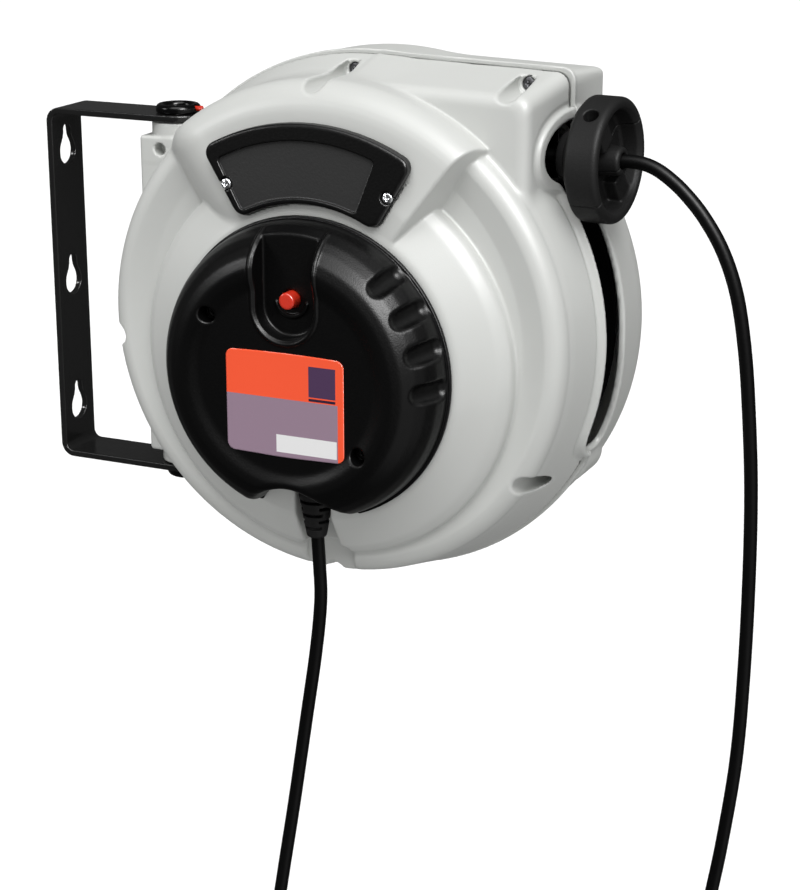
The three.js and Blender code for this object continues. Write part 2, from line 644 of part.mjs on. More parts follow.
function stopperHalf(side) {
  const half = block([100, -60, side > 0 ? GAP / 2 : -60], [200, 60, side > 0 ? 60 : -GAP / 2]);
  return tilted(stopper().intersect(half));
}

place('stopper_upper_half', stopperHalf(1), RUBBER);
place('stopper_lower_half', stopperHalf(-1), RUBBER);
for (const [number, side] of [[1, 1], [2, -1]]) {
  const seat = side * (CLAMP_SEAT + GAP);
  place(`stopper_screw_${number}`, tilted(turned([
    [0, seat + side * 3.6], [3.4, seat + side * 3], [3.4, seat], [1.5, seat],
    [1.5, side * 5.6], [0, side * 4.6],
  ], 12, 'z', [CLAMP_X, 0, 0])), ZINC);
}

// ---- outgoing cord ----
const OUTLET_ROUTE = [
  [-40, CORD_Y, CORD_Z], [20, CORD_Y, CORD_Z], [80, CORD_Y, CORD_Z], [135, CORD_Y, CORD_Z],
  [168, CORD_Y, CORD_Z], [176, CORD_Y, 106], [185, CORD_Y, 102], [197, CORD_Y, 93],
  [210, CORD_Y, 79], [222, CORD_Y, 60], [231, CORD_Y, 36], [237, CORD_Y, 5], [241, CORD_Y, -30],
  [244.5, CORD_Y, -75], [246, CORD_Y, -125], [246, CORD_Y, -185], [244, CORD_Y, -245],
  [238, CORD_Y, -301], [231.5, CORD_Y, -345], [228, CORD_Y, -368],
];
place('outlet_cord', cord(OUTLET_ROUTE, CORD_D / 2, 40), CABLE);

// Generic two-pole coupling socket, hanging in line with the end of its cord.
const SOCKET_TOP = [228, CORD_Y, -369.2];
function couplingSocket() {
  return cut(turned([
    [0, 0], [6, 0], [9.5, -24], [15, -34], [19, -42], [20.5, -60], [25, -64], [25, -92], [22, -92],
    [21.5, -74], [0, -74],
  ], 24, 'z', [0, 0, 0]),
  ...[-9.5, 9.5].map((y) => rod(2.5, -80, -60, 'z', [0, y, 0], 12)));
}
place('outlet_socket', couplingSocket().translate(SOCKET_TOP), RUBBER);
place('socket_earth_pin', rod(2.3, -90, -74.3, 'z', [
  SOCKET_TOP[0] + 9.5, SOCKET_TOP[1], SOCKET_TOP[2]], 12), BRASS);

// ---- inlet cord ----
place('inlet_boot', turned([
  [0, BOOT_TOP], [10.8, BOOT_TOP], [10.8, BOOT_TOP - 12], [8.5, BOOT_TOP - 24],
  [6.4, BOOT_END], [0, BOOT_END],
], SMALL, 'z', [0, BOOT_Y, 0]), RUBBER);
place('inlet_clamp', cut(
  block([-16, -96, -66], [16, -90, -59]),
  ...[-12, 12].map((x) => rod(2, -100, -80, 'y', [x, 0, -62.5], 12)),
), DARK_PLASTIC);

const INLET_ROUTE = [
  [0, BOOT_Y, BOOT_END - GAP], [1.5, BOOT_Y, -138], [2, BOOT_Y, -160], [-1.5, BOOT_Y, -193],
  [-9, BOOT_Y, -241], [-17, BOOT_Y - 2, -297], [-23, BOOT_Y - 7, -345], [-26, BOOT_Y - 11, -375],
  [-27, BOOT_Y - 12.5, -396],
];
place('inlet_cord', cord(INLET_ROUTE, CORD_D / 2, 16), CABLE);
place('inlet_coil', turned([
  [COIL_R - 4.5, -17], [COIL_R + 4.5, -17], [COIL_R + 4.5, 17], [COIL_R - 4.5, 17],
], 24, 'y', COIL_CENTRE), CABLE);

// Generic two-pole plug with moulded-in pins, hanging from the end of the coil's last turn.
const PLUG_TOP = [COIL_CENTRE[0] - COIL_R, BOOT_Y + 12.5, COIL_CENTRE[2] - 29];
function inletPlug() {
  const body = turned([
    [0, 0], [5.5, 0], [8, -18], [14, -26], [18.5, -34], [18.5, -50], [0, -50],
  ], 24, 'z', [0, 0, 0]);
  const pins = [-9.5, 9.5].map((y) => turned([
    [0, -48], [2.4, -48], [2.4, -67.5], [1.2, -69.3], [0, -69.3],
  ], 12, 'z', [0, y, 0]));
  return join(body, ...pins);
}
place('inlet_plug', inletPlug().translate(PLUG_TOP), RUBBER);

export default reel;
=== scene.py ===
"""Wall-mounted automatic extension cord reel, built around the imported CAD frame.

Moulded pieces are signed-distance fields in millimetres around the drum axis, meshed by a surface
net. Round pieces are turned profiles, cords are curves. Everything is placed in the row frame.
"""

import json
import math

import bmesh
import bpy
import numpy as np
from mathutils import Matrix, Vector


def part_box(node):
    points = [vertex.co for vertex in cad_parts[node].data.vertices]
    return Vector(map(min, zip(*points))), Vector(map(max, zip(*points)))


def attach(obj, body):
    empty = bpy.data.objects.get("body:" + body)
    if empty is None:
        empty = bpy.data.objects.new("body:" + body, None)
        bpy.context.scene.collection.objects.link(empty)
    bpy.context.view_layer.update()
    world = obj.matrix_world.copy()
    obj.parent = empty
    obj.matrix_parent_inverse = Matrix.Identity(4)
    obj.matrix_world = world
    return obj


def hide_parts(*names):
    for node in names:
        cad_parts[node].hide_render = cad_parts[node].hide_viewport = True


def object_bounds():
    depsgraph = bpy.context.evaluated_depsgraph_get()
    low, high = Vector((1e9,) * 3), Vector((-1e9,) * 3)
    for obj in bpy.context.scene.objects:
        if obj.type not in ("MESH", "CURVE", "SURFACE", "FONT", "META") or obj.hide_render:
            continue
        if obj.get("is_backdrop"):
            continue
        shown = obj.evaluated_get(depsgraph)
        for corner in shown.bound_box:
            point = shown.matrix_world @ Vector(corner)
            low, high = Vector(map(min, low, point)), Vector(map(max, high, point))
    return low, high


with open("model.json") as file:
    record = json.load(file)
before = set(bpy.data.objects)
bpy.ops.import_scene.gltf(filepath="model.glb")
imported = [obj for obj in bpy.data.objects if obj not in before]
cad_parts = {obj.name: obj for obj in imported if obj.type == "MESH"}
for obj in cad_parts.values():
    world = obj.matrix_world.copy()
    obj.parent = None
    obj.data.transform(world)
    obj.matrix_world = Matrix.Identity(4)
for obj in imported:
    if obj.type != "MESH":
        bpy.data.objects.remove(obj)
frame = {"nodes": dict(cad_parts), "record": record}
cad_low, cad_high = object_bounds()

# ---- driving dimensions, in millimetres around the drum axis ----
MM = 0.001


def box_mm(node):
    """A CAD node's lowest and highest corners, in millimetres in the row frame."""
    low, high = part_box(node)
    return np.array(low) / MM, np.array(high) / MM


def middle(node):
    return sum(box_mm(node)) / 2


def half_size(node):
    low, high = box_mm(node)
    return (high - low) / 2


AXIS = middle("drum_front_flange") * (1, 0, 1)
HOUSING_R = half_size("rear_shell")[0]
REAR_Y = box_mm("rear_shell")[1][1]
COVER_FRONT = box_mm("arc_cover")[0][1]
CAP_R = half_size("centre_cap")[0]
CAP_FRONT, CAP_BACK = box_mm("centre_cap")[0][1], box_mm("centre_cap")[1][1]
CAP_FACE = CAP_FRONT + 3.2           # the flat disc inside the cap's raised ring
BUTTON_Z = middle("reset_button")[2] - AXIS[2]
CAP_Z = BUTTON_Z - 46
CAP_SCREWS = [(60 * math.cos(math.radians(at)), 60 * math.sin(math.radians(at))) for at in (145, -40)]
LABEL_Z = CAP_Z - 14
PIVOT_X = middle("upper_pivot_pin")[0] - AXIS[0]
PLATE_X = -AXIS[0]
STRIP_HALF, BRACKET_HALF = half_size("wall_bracket")[1:]
CORD_Z = box_mm("outlet_cord")[1][2] - 4 - AXIS[2]
CORD_Y = middle("outlet_cord")[1]
MOUTH_Z = 109.5                      # the oval mouth's centre, on the parting plane
MOUTH_WIDE = 33.0
MOUTH_HIGH = 18.7
CORD_D = 8.0
WALL = 3.0
PART = 0.15
STEP_R = 118.0
NOSE_Y = -82.0
FACE_Y = -57.0
SHOULDER = (136.5, -49.0, 11.0)      # radius and station of the shoulder's arc, and its radius
BOOT_Y = -76.0
COIL_R = 41.0


def row(points):
    """Millimetres around the drum axis to metres in the row frame."""
    return (np.asarray(points, float) + AXIS) * MM


# ---- camera ----
def make_camera():
    camera = bpy.data.objects.new("camera", bpy.data.cameras.new("camera"))
    bpy.context.scene.collection.objects.link(camera)
    bpy.context.scene.camera = camera
    camera.location = (0.7769, -1.1779, 0.3678)
    camera.rotation_euler = (math.radians(90 - 17.61), 0, math.radians(24.64))
    camera.data.lens = 89.0
    camera.data.clip_start = 0.01


make_camera()


# ---- materials ----
def set_inputs(node, **values):
    for name, value in values.items():
        node.inputs[name.replace("_", " ")].default_value = value
    return node


def mixed(nodes, links, factor, colour, second):
    """The colour socket, turned to the second colour where the factor is 1."""
    mix = nodes.new("ShaderNodeMix")
    mix.data_type = "RGBA"
    mix.inputs["B"].default_value = (*second, 1)
    links.new(factor, mix.inputs["Factor"])
    links.new(colour, mix.inputs["A"])
    return mix.outputs["Result"]


def material(name, base, roughness, metallic=0.0, grain=0.0, scale=900.0, tone=0.06, coat=0.0,
             wear=0.0, spec=0.5):
    """Moulded or metal finish: tone variation, fine grain in bump and roughness, edge wear."""
    mat = bpy.data.materials.new(name)
    mat.use_nodes = True
    nodes, links = mat.node_tree.nodes, mat.node_tree.links
    shader = set_inputs(nodes["Principled BSDF"], Metallic=metallic, Coat_Weight=coat,
                        Coat_Roughness=0.15, Specular_IOR_Level=spec)
    where = nodes.new("ShaderNodeTexCoord")
    cloud = set_inputs(nodes.new("ShaderNodeTexNoise"), Scale=14.0, Detail=3.0)
    links.new(where.outputs["Object"], cloud.inputs["Vector"])
    ramp = nodes.new("ShaderNodeValToRGB")
    for element, position, level in zip(ramp.color_ramp.elements, (0.3, 0.7), (1 - tone, 1 + tone)):
        element.position = position
        element.color = (*[min(1.0, c * level) for c in base], 1)
    links.new(cloud.outputs["Fac"], ramp.inputs["Fac"])
    colour = ramp.outputs["Color"]
    if wear > 0:
        geometry = nodes.new("ShaderNodeNewGeometry")
        edge = set_inputs(nodes.new("ShaderNodeMapRange"), From_Min=0.53, From_Max=0.62)
        links.new(geometry.outputs["Pointiness"], edge.inputs["Value"])
        worn = [min(1.0, c + wear) for c in base]
        colour = mixed(nodes, links, edge.outputs["Result"], colour, worn)
    links.new(colour, shader.inputs["Base Color"])
    fine = set_inputs(nodes.new("ShaderNodeTexNoise"), Scale=scale, Detail=2.0)
    links.new(where.outputs["Object"], fine.inputs["Vector"])
    rough = set_inputs(nodes.new("ShaderNodeMapRange"), To_Min=max(0.02, roughness - 0.06),
                       To_Max=min(1.0, roughness + 0.06))
    links.new(fine.outputs["Fac"], rough.inputs["Value"])
    links.new(rough.outputs["Result"], shader.inputs["Roughness"])
    if grain > 0:
        bump = set_inputs(nodes.new("ShaderNodeBump"), Strength=grain, Distance=0.0004)
        links.new(fine.outputs["Fac"], bump.inputs["Height"])
        links.new(bump.outputs["Normal"], shader.inputs["Normal"])
    return mat


GREY = material("housing_grey", (0.585, 0.595, 0.575), 0.42, grain=0.10, scale=1500, tone=0.02, wear=0.03,
                spec=0.4)
BLACK = material("cap_black", (0.0009, 0.0009, 0.0010), 0.38, grain=0.25, scale=1100, tone=0.15, spec=0.22)
BLACK_SMOOTH = material("black_smooth", (0.0020, 0.0020, 0.0022), 0.20, grain=0.06, tone=0.1, spec=0.2)
INNER = material("inner_plastic", (0.0028, 0.0028, 0.003), 0.6, grain=0.1, spec=0.08)
POWDER = material("bracket_black", (0.0110, 0.0110, 0.0110), 0.16, grain=0.12, scale=420, spec=0.45)
RUBBER = material("stopper_rubber", (0.017, 0.017, 0.017), 0.5, grain=0.3, scale=1000, tone=0.2, spec=0.12)
SHEATH = material("cord_sheath", (0.0012, 0.0012, 0.0013), 0.42, grain=0.12, scale=600, tone=0.2, spec=0.15)
DULL_SHEATH = material("wound_sheath", (0.0015, 0.0015, 0.0016), 0.7, grain=0.12, scale=600, tone=0.2,
                       spec=0.05)
RED = material("red_plastic", (0.62, 0.028, 0.010), 0.3, grain=0.05, coat=0.3)
ZINC = material("zinc_steel", (0.60, 0.61, 0.62), 0.3, metallic=1.0, grain=0.1, scale=500)
# Painted shade: this zinc is darkened to stand in for the shade deep in the shell screws' channels.
SHADED_ZINC = material("zinc_painted_shade", (0.10, 0.10, 0.105), 0.45, metallic=1.0, grain=0.2, scale=500, tone=0.2)
BRASS = material("turned_brass", (0.62, 0.44, 0.17), 0.28, metallic=1.0, grain=0.08)
COPPER = material("turned_copper", (0.70, 0.33, 0.19), 0.3, metallic=1.0, grain=0.08)
SPRING = material("spring_strip", (0.12, 0.13, 0.16), 0.32, metallic=1.0, grain=0.06)
CARBON = material("carbon_block", (0.015, 0.015, 0.017), 0.62, grain=0.3)
NYLON = material("natural_nylon", (0.70, 0.68, 0.61), 0.45, grain=0.08)

SLOT_MATERIAL = {
    "zinc_steel": ZINC, "bracket_steel": POWDER, "housing_grey": GREY, "black_plastic": BLACK_SMOOTH,
    "inner_plastic": INNER, "rubber": RUBBER, "cable_black": SHEATH, "red_plastic": RED,
    "brass": BRASS, "copper": COPPER, "spring_steel": SPRING, "carbon": CARBON, "nylon": NYLON,
}
SLOT_OF = {mat.name.split(".")[0]: slot for slot, mat in SLOT_MATERIAL.items()}
SLOT_OF.update({
    "cap_black": "black_plastic", "cover_black": "black_plastic", "wound_sheath": "cable_black",
    "zinc_painted_shade": "zinc_steel", "label_print": "label_print",
})


# ---- signed-distance tools; all lengths in millimetres ----
def smin(a, b, k):
    blend = np.maximum(k - np.abs(a - b), 0) / k
    return np.minimum(a, b) - blend * blend * k / 4


def smax(a, b, k):
    return -smin(-a, -b, k)


class Outline:
    """Signed distance to a closed outline, tabulated on a fine grid and read by interpolation."""

    CELL = 0.5

    def __init__(self, points, blur=0.5, margin=14.0):
        points = np.array(points, float)
        points = points[np.hypot(*(points - np.roll(points, 1, axis=0)).T) > 1e-6]
        self.low = points.min(0) - margin
        count = np.ceil((points.max(0) + margin - self.low) / self.CELL).astype(int) + 1
        axes = [self.low[i] + self.CELL * np.arange(count[i]) for i in range(2)]
        u, v = np.meshgrid(*axes, indexing="ij")
        nearest = np.full(u.shape, 1e9)
        inside = np.zeros(u.shape, bool)
        for (u0, v0), (u1, v1) in zip(points, np.roll(points, -1, axis=0)):
            du, dv = u1 - u0, v1 - v0
            t = np.clip(((u - u0) * du + (v - v0) * dv) / (du * du + dv * dv), 0, 1)
            nearest = np.minimum(nearest, (u - u0 - t * du) ** 2 + (v - v0 - t * dv) ** 2)
            if v0 != v1:
                crossing = (v0 <= v) != (v1 <= v)
                inside ^= crossing & (u < u0 + (v - v0) * du / dv)
        table = np.sqrt(nearest) * np.where(inside, -1, 1)
        reach = int(3 * blur / self.CELL)
        if reach > 0:
            kernel = np.exp(-0.5 * (np.arange(-reach, reach + 1) * self.CELL / blur) ** 2)
            kernel /= kernel.sum()
            for axis in (0, 1):
                padded = np.pad(table, [(reach, reach) if i == axis else (0, 0) for i in (0, 1)], "edge")
                table = sum(
                    weight * np.take(padded, np.arange(table.shape[axis]) + shift, axis)
                    for shift, weight in enumerate(kernel))
        self.table = table
        self.top = np.array(table.shape) - 1.001

    def __call__(self, u, v):
        s, t = (u - self.low[0]) / self.CELL, (v - self.low[1]) / self.CELL
        sc, tc = np.clip(s, 0, self.top[0]), np.clip(t, 0, self.top[1])
        i, j = sc.astype(int), tc.astype(int)
        a, b = sc - i, tc - j
        grid = self.table
        value = ((grid[i, j] * (1 - a) + grid[i + 1, j] * a) * (1 - b)
                 + (grid[i, j + 1] * (1 - a) + grid[i + 1, j + 1] * a) * b)
        return value + self.CELL * np.hypot(s - sc, t - tc)


def arc(cu, cv, radius, start, stop, steps=8):
    """Points on an arc, angles in degrees."""
    angles = np.radians(np.linspace(start, stop, steps + 1))
    return [(cu + radius * math.cos(a), cv + radius * math.sin(a)) for a in angles]


def sector(inner, outer, start, stop, corner):
    """Ring sector with rounded corners, about the origin."""
    outline = []
    for radius, side, first, last in ((outer, -1, start, stop), (inner, 1, stop, start)):
        centre = radius + side * corner
        inset = -side * math.degrees(corner / centre)
        first, last = first + inset, last - inset
        for angle, begin in ((first, True), (last, False)):
            turn = math.radians(angle)
            base = angle + 180 if side > 0 else angle
            span = (base - 90, base) if begin else (base, base + 90)
            outline += arc(centre * math.cos(turn), centre * math.sin(turn), corner, *span, steps=5)
            if begin:
                sweep = np.radians(np.linspace(first, last, 18)[1:-1])
                outline += [(radius * math.cos(a), radius * math.sin(a)) for a in sweep]
    return outline


def rounded_box(u, v, half_u, half_v, corner):
    du, dv = np.abs(u) - half_u + corner, np.abs(v) - half_v + corner
    outside = np.hypot(np.maximum(du, 0), np.maximum(dv, 0))
    return outside + np.minimum(np.maximum(du, dv), 0) - corner


def between(value, low, high):
    return np.maximum(low - value, value - high)


def gradient(field, points, eps):
    total = np.zeros_like(points)
    for corner in ((1, -1, -1), (-1, -1, 1), (-1, 1, -1), (1, 1, 1)):
        corner = np.array(corner, float)
        total += field(points + eps * corner)[:, None] * corner
    return total / (4 * eps)


def surface_net(field, low, high, step, block=6):
    """Quads and vertices of the field's zero surface, moved onto it, with its normals."""
    low = np.array(low, float) - 1.5 * step
    blocks = np.ceil((np.array(high, float) + 1.5 * step - low) / (step * block)).astype(int)
    centres = np.stack(np.meshgrid(*[np.arange(n) for n in blocks], indexing="ij"), -1)
    centres = low + (centres + 0.5) * block * step
    distance = field(centres.reshape(-1, 3)).reshape(blocks)
    near = np.abs(distance) < block * step * 1.15
    shape = blocks * block + 1
    values = np.where(distance < 0, -1e3, 1e3)
    for axis in range(3):
        values = np.repeat(values, block, axis)
    values = np.pad(values, [(0, 1)] * 3, "edge")
    wanted = np.zeros(shape, bool)
    for i, j, k in np.argwhere(near) * block:
        wanted[i:i + block + 1, j:j + block + 1, k:k + block + 1] = True
    at = np.argwhere(wanted)
    samples = np.empty(len(at))
    for start in range(0, len(at), 400000):
        part = at[start:start + 400000]
        samples[start:start + 400000] = field(low + part * step)
    values[wanted] = samples
    inside = values < 0
    corners = [(a, b, c) for a in (0, 1) for b in (0, 1) for c in (0, 1)]
    cells = tuple(n - 1 for n in shape)
    count = sum(inside[a:a + cells[0], b:b + cells[1], c:c + cells[2]].astype(np.int8)
                for a, b, c in corners)
    active = (count > 0) & (count < 8)
    cell = np.argwhere(active)
    number = np.full(cells, -1)
    number[active] = np.arange(len(cell))
    total = np.zeros((len(cell), 3))
    hits = np.zeros(len(cell))
    for first in corners:
        for axis in range(3):
            if first[axis]:
                continue
            second = tuple(v + (i == axis) for i, v in enumerate(first))
            va = values[tuple((cell + first).T)]
            vb = values[tuple((cell + second).T)]
            cross = (va < 0) != (vb < 0)
            share = np.where(cross, va / np.where(cross, va - vb, 1), 0)
            spot = np.array(first, float)[None, :] + np.eye(3)[axis] * share[:, None]
            total += np.where(cross[:, None], spot, 0)
            hits += cross
    points = low + (cell + total / hits[:, None]) * step
    quads = []
    for axis in range(3):
        one, two = (axis + 1) % 3, (axis + 2) % 3
        ahead = [slice(None)] * 3
        behind = [slice(None)] * 3
        behind[axis], ahead[axis] = slice(0, -1), slice(1, None)
        edge = np.argwhere(inside[tuple(behind)] != inside[tuple(ahead)])
        keep = (edge[:, one] > 0) & (edge[:, two] > 0)
        keep &= (edge[:, one] < cells[one]) & (edge[:, two] < cells[two])
        edge = edge[keep]
        ring = []
        for a, b in ((-1, -1), (0, -1), (0, 0), (-1, 0)):
            spot = edge.copy()
            spot[:, one] += a
            spot[:, two] += b
            ring.append(number[tuple(spot.T)])
        ring = np.stack(ring, 1)
        flip = ~inside[tuple(edge.T)]
        ring[flip] = ring[flip][:, ::-1]
        quads.append(ring)
    quads = np.concatenate(quads)
    home = points.copy()
    for _ in range(4):
        slope = gradient(field, points, 0.15)
        size = np.maximum((slope ** 2).sum(1), 0.2)
        points = points - field(points)[:, None] * slope / size[:, None]
        points = home + np.clip(points - home, -0.7 * step, 0.7 * step)
    normals = gradient(field, points, 0.25)
    normals /= np.maximum(np.linalg.norm(normals, axis=1), 1e-9)[:, None]
    return points, quads, normals


def add_object(name, mesh, body, mat, replaces=()):
    obj = bpy.data.objects.new(name, mesh)
    bpy.context.scene.collection.objects.link(obj)
    obj.data.materials.append(mat)
    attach(obj, body)
    if replaces:
        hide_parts(*replaces)
    return obj


def moulded(name, field, low, high, step, body, mat, replaces=()):
    """A piece meshed from its distance field."""
    points, quads, normals = surface_net(field, low, high, step)
    mesh = bpy.data.meshes.new(name)
    mesh.vertices.add(len(points))
    mesh.vertices.foreach_set("co", row(points).astype(np.float32).ravel())
    mesh.loops.add(quads.size)
    mesh.loops.foreach_set("vertex_index", quads.astype(np.int32).ravel())
    mesh.polygons.add(len(quads))
    mesh.polygons.foreach_set("loop_start", np.arange(0, quads.size, 4, dtype=np.int32))
    mesh.update(calc_edges=True)
    mesh.polygons.foreach_set("use_smooth", np.ones(len(quads), bool))
    mesh.normals_split_custom_set_from_vertices(normals.tolist())
    return add_object(name, mesh, body, mat, replaces)


def turned(name, profile, body, mat, axis="y", centre=(0, 0, 0), replaces=(), sides=96, bevel=0.4):
    """A closed or on-axis profile of (radius, station), revolved, with its sharp corners eased."""
    closed = not (profile[0][0] == 0 and profile[-1][0] == 0)
    points = [Vector(p) for p in profile]
    eased = []
    for i, point in enumerate(points):
        back, on = points[i - 1] - point, points[(i + 1) % len(points)] - point
        if (not closed and i in (0, len(points) - 1)) or back.angle(on) > math.radians(150):
            eased.append(point)
            continue
        room = min(bevel, back.length * 0.4, on.length * 0.4)
        back, on = back.normalized() * room, on.normalized() * room
        eased += [point + back, point + (back + on) * 0.3, point + on]
    bm = bmesh.new()
    rings = []
    lathe_to_world = {
        "y": lambda r, s, c, n: (r * n, s, r * c),
        "z": lambda r, s, c, n: (r * c, r * n, s),
    }[axis]
    for radius, station in eased:
        count = 1 if radius < 1e-6 else sides
        ring = []
        for i in range(count):
            angle = 2 * math.pi * i / sides
            spot = lathe_to_world(radius, station, math.cos(angle), math.sin(angle))
            ring.append(bm.verts.new(row(np.array(spot) + np.array(centre))))
        rings.append(ring)
    for one, two in zip(rings, rings[1:] + (rings[:1] if closed else [])):
        for i in range(sides):
            j = (i + 1) % sides
            corners = [one[i % len(one)], one[j % len(one)], two[j % len(two)], two[i % len(two)]]
            unique = list(dict.fromkeys(corners))
            if len(unique) > 2:
                bm.faces.new(unique)
    bmesh.ops.recalc_face_normals(bm, faces=bm.faces)
    for face in bm.faces:
        face.smooth = True
    for edge in bm.edges:
        edge.smooth = edge.calc_face_angle(0) < math.radians(24)
    mesh = bpy.data.meshes.new(name)
    bm.to_mesh(mesh)
    bm.free()
    return add_object(name, mesh, body, mat, replaces)


def smooth_route(points, spacing):
    """Catmull-Rom line through the points, resampled evenly, and its length."""
    points = np.array(points, float)
    padded = np.vstack([2 * points[0] - points[1], points, 2 * points[-1] - points[-2]])
    line = []
    for i in range(1, len(padded) - 2):
        a, b, c, d = padded[i - 1:i + 3]
        for t in np.linspace(0, 1, 24, endpoint=False):
            line.append(0.5 * (2 * b + (c - a) * t + (2 * a - 5 * b + 4 * c - d) * t ** 2
                               + (3 * b - a - 3 * c + d) * t ** 3))
    line = np.array(line + [points[-1]])
    length = np.concatenate([[0], np.cumsum(np.linalg.norm(np.diff(line, axis=0), axis=1))])
    at = np.linspace(0, length[-1], max(2, int(length[-1] / spacing)) + 1)
    return np.stack([np.interp(at, length, line[:, i]) for i in range(3)], 1), length[-1]


def cord_curve(name, line, diameter, body, mat, replaces=()):
    curve = bpy.data.curves.new(name, "CURVE")
    curve.dimensions = "3D"
    curve.bevel_depth = diameter / 2 * MM
    curve.bevel_resolution = 6
    curve.use_fill_caps = True
    spline = curve.splines.new("POLY")
    spline.points.add(len(line) - 1)
    flat = np.hstack([row(line), np.ones((len(line), 1))])
    spline.points.foreach_set("co", flat.ravel())
    spline.use_smooth = True
    return add_object(name, curve, body, mat, replaces)


# ---- cords ----
OUTLET_ROUTE = [   # across and up, in the drum's plane
    (152, CORD_Z), (160, CORD_Z), (168, CORD_Z), (176, 106), (185, 102), (197, 93), (210, 79), (222, 60),
    (231, 36), (237, 5), (241, -30), (244.5, -75), (246, -125), (246, -185), (244, -245), (238, -301),
    (231.5, -345), (228, -368),
]
INLET_ROUTE = [
    (0, BOOT_Y, -110), (0.6, BOOT_Y, -122), (1.5, BOOT_Y, -138), (2, BOOT_Y, -160),
    (-1.5, BOOT_Y, -193), (-9, BOOT_Y, -241), (-17, BOOT_Y - 2, -297), (-23, BOOT_Y - 7, -345),
    (-26, BOOT_Y - 11, -375), (-27, BOOT_Y - 12.5, -396),
]
COIL_CENTRE = (14.0, BOOT_Y, -424.0)
COIL_TURNS = 3
COIL_WIDTH = 25.0


def outlet_cord():
    line, length = smooth_route([(x, CORD_Y, z) for x, z in OUTLET_ROUTE], 3)
    cord = cord_curve("outlet_cord_free", line, CORD_D, "outgoing_cord", SHEATH, ["outlet_cord"])
    tail = smooth_route([(x, CORD_Y, CORD_Z) for x in (-40, 20, 80, 151)], 6)[0]
    cord_curve("outlet_cord_inside", tail, CORD_D, "outgoing_cord", SHEATH)
    return cord, length, row(line[0])


def inlet_cord():
    turns = []
    count = COIL_TURNS * 28
    for i in range(count + 1):
        share = i / count
        angle = math.pi + 2 * math.pi * COIL_TURNS * share
        turns.append((
            COIL_CENTRE[0] + COIL_R * math.cos(angle),
            COIL_CENTRE[1] - COIL_WIDTH / 2 + COIL_WIDTH * share,
            COIL_CENTRE[2] + COIL_R * math.sin(angle),
        ))
    end_x, end_y = COIL_CENTRE[0] - COIL_R, COIL_CENTRE[1] + COIL_WIDTH / 2
    tail = [(end_x, end_y, COIL_CENTRE[2] - 14), (end_x, end_y, COIL_CENTRE[2] - 34)]
    line, length = smooth_route([*INLET_ROUTE, *turns, *tail], 3)
    cord = cord_curve("inlet_cord_lead", line, CORD_D, "housing", SHEATH, ["inlet_cord", "inlet_coil"])
    return cord, length, row(line[0])


outlet, outlet_length, outlet_exit = outlet_cord()
inlet, inlet_length, inlet_exit = inlet_cord()


# ---- housing shells ----
def shell_profile():
    radius, station, bend = SHOULDER
    wall = [(HOUSING_R - 0.6, 20), (HOUSING_R - 0.6, -3), (radius + bend + 1.5, -44)]
    return [(-40, 20), *wall, *arc(radius, station, bend, 0, -90), (122, FACE_Y), (-40, FACE_Y)]


def fan_profile():
    return [(-40, -20), (151, -20), *arc(132.5, -58.5, 18.5, 0, -82), (98, NOSE_Y), (-40, NOSE_Y)]


MAIN = Outline(shell_profile(), 0.6)
STEP = Outline([
    (-40, -40), (STEP_R + 1, -40), (STEP_R + 0.4, -64), (113, -69.5), (92, NOSE_Y), (-40, NOSE_Y),
], 1.6)
FAN = Outline(fan_profile(), 0.8)
COVER = Outline(sector(83, 129, 59, 121, 7), 0.5)
REAR = Outline([
    (-40, -20), (HOUSING_R, -20), (HOUSING_R, 40), *arc(HOUSING_R - 32, 40, 32, 0, 90), (-40, REAR_Y),
], 0.8)
BLOCK_REAR_Y = 58.0                  # the corner's back face
SEAM_FRONT = 4.6                     # the parting groove runs from here to the parting plane
SCREWS = [(-3, 150), (106, 148), (123.8, -77.4), (-145.2, -15.3), (0, -150)]
SLOT_DEGREES = (-26.0, 37.0)         # lower end, and the upper one, which runs into the mouth
SLOT_Y = (-16.0, 13.0)
SLOT_REACH = 157.0                   # radius on which the slot's outline is measured
FAN_COS, FAN_SIN = math.cos(math.radians(56)), math.sin(math.radians(56))


def slot_field(x, y, z):
    """Distance to the cord slot's outline, measured along the drum wall."""
    angle = np.degrees(np.arctan2(z, x))
    bottom, top = SLOT_DEGREES
    reach = math.radians(1) * SLOT_REACH
    rear = y - SLOT_Y[1] - 7 * np.clip((-2 - angle) / 18, 0, 1)
    front = SLOT_Y[0] - y
    return smax(smax(smax(front, (bottom - angle) * reach, 22), rear, 7), (angle - top) * reach, 1)


def mouth_field(y, z):
    """Distance to the oval mouth's outline, on the block's right wall."""
    z = z - MOUTH_Z
    oval = np.hypot(y / MOUTH_WIDE, z / MOUTH_HIGH)
    slope = np.hypot(y / MOUTH_WIDE ** 2, z / MOUTH_HIGH ** 2) / np.maximum(oval, 0.05)
    return (oval - 1) / np.maximum(slope, 1e-4)


def falls(value):
    """Falls softly from 1 below zero to 0 above it."""
    return 1 / (1 + np.exp(np.clip(value, -40, 40)))


def right_side(x):
    return falls((112 - x) * 0.8)


def openings(x, y, z):
    """The slot's field, the mouth's, and both joined on the right side."""
    slot, mouth = slot_field(x, y, z), mouth_field(y, z)
    return slot, mouth, np.maximum(smin(slot, mouth, 3), 113 - x)


def opening_rim(x, skin, slot, mouth):
    """Raises a rounded rim along the slot and the mouth, set off from the wall by a soft groove."""
    edge = smin(slot, mouth, 4)
    collar = falls((mouth - slot) / 2)
    width = 2.4 + 4.0 * collar
    raised = (2.4 - 0.3 * collar) * falls((edge - width) * 2.8)
    groove = (1.3 - 0.8 * collar) * np.exp(-((edge - width - 2.2) / 1.5) ** 2)
    return skin + (groove - raised) * right_side(x)


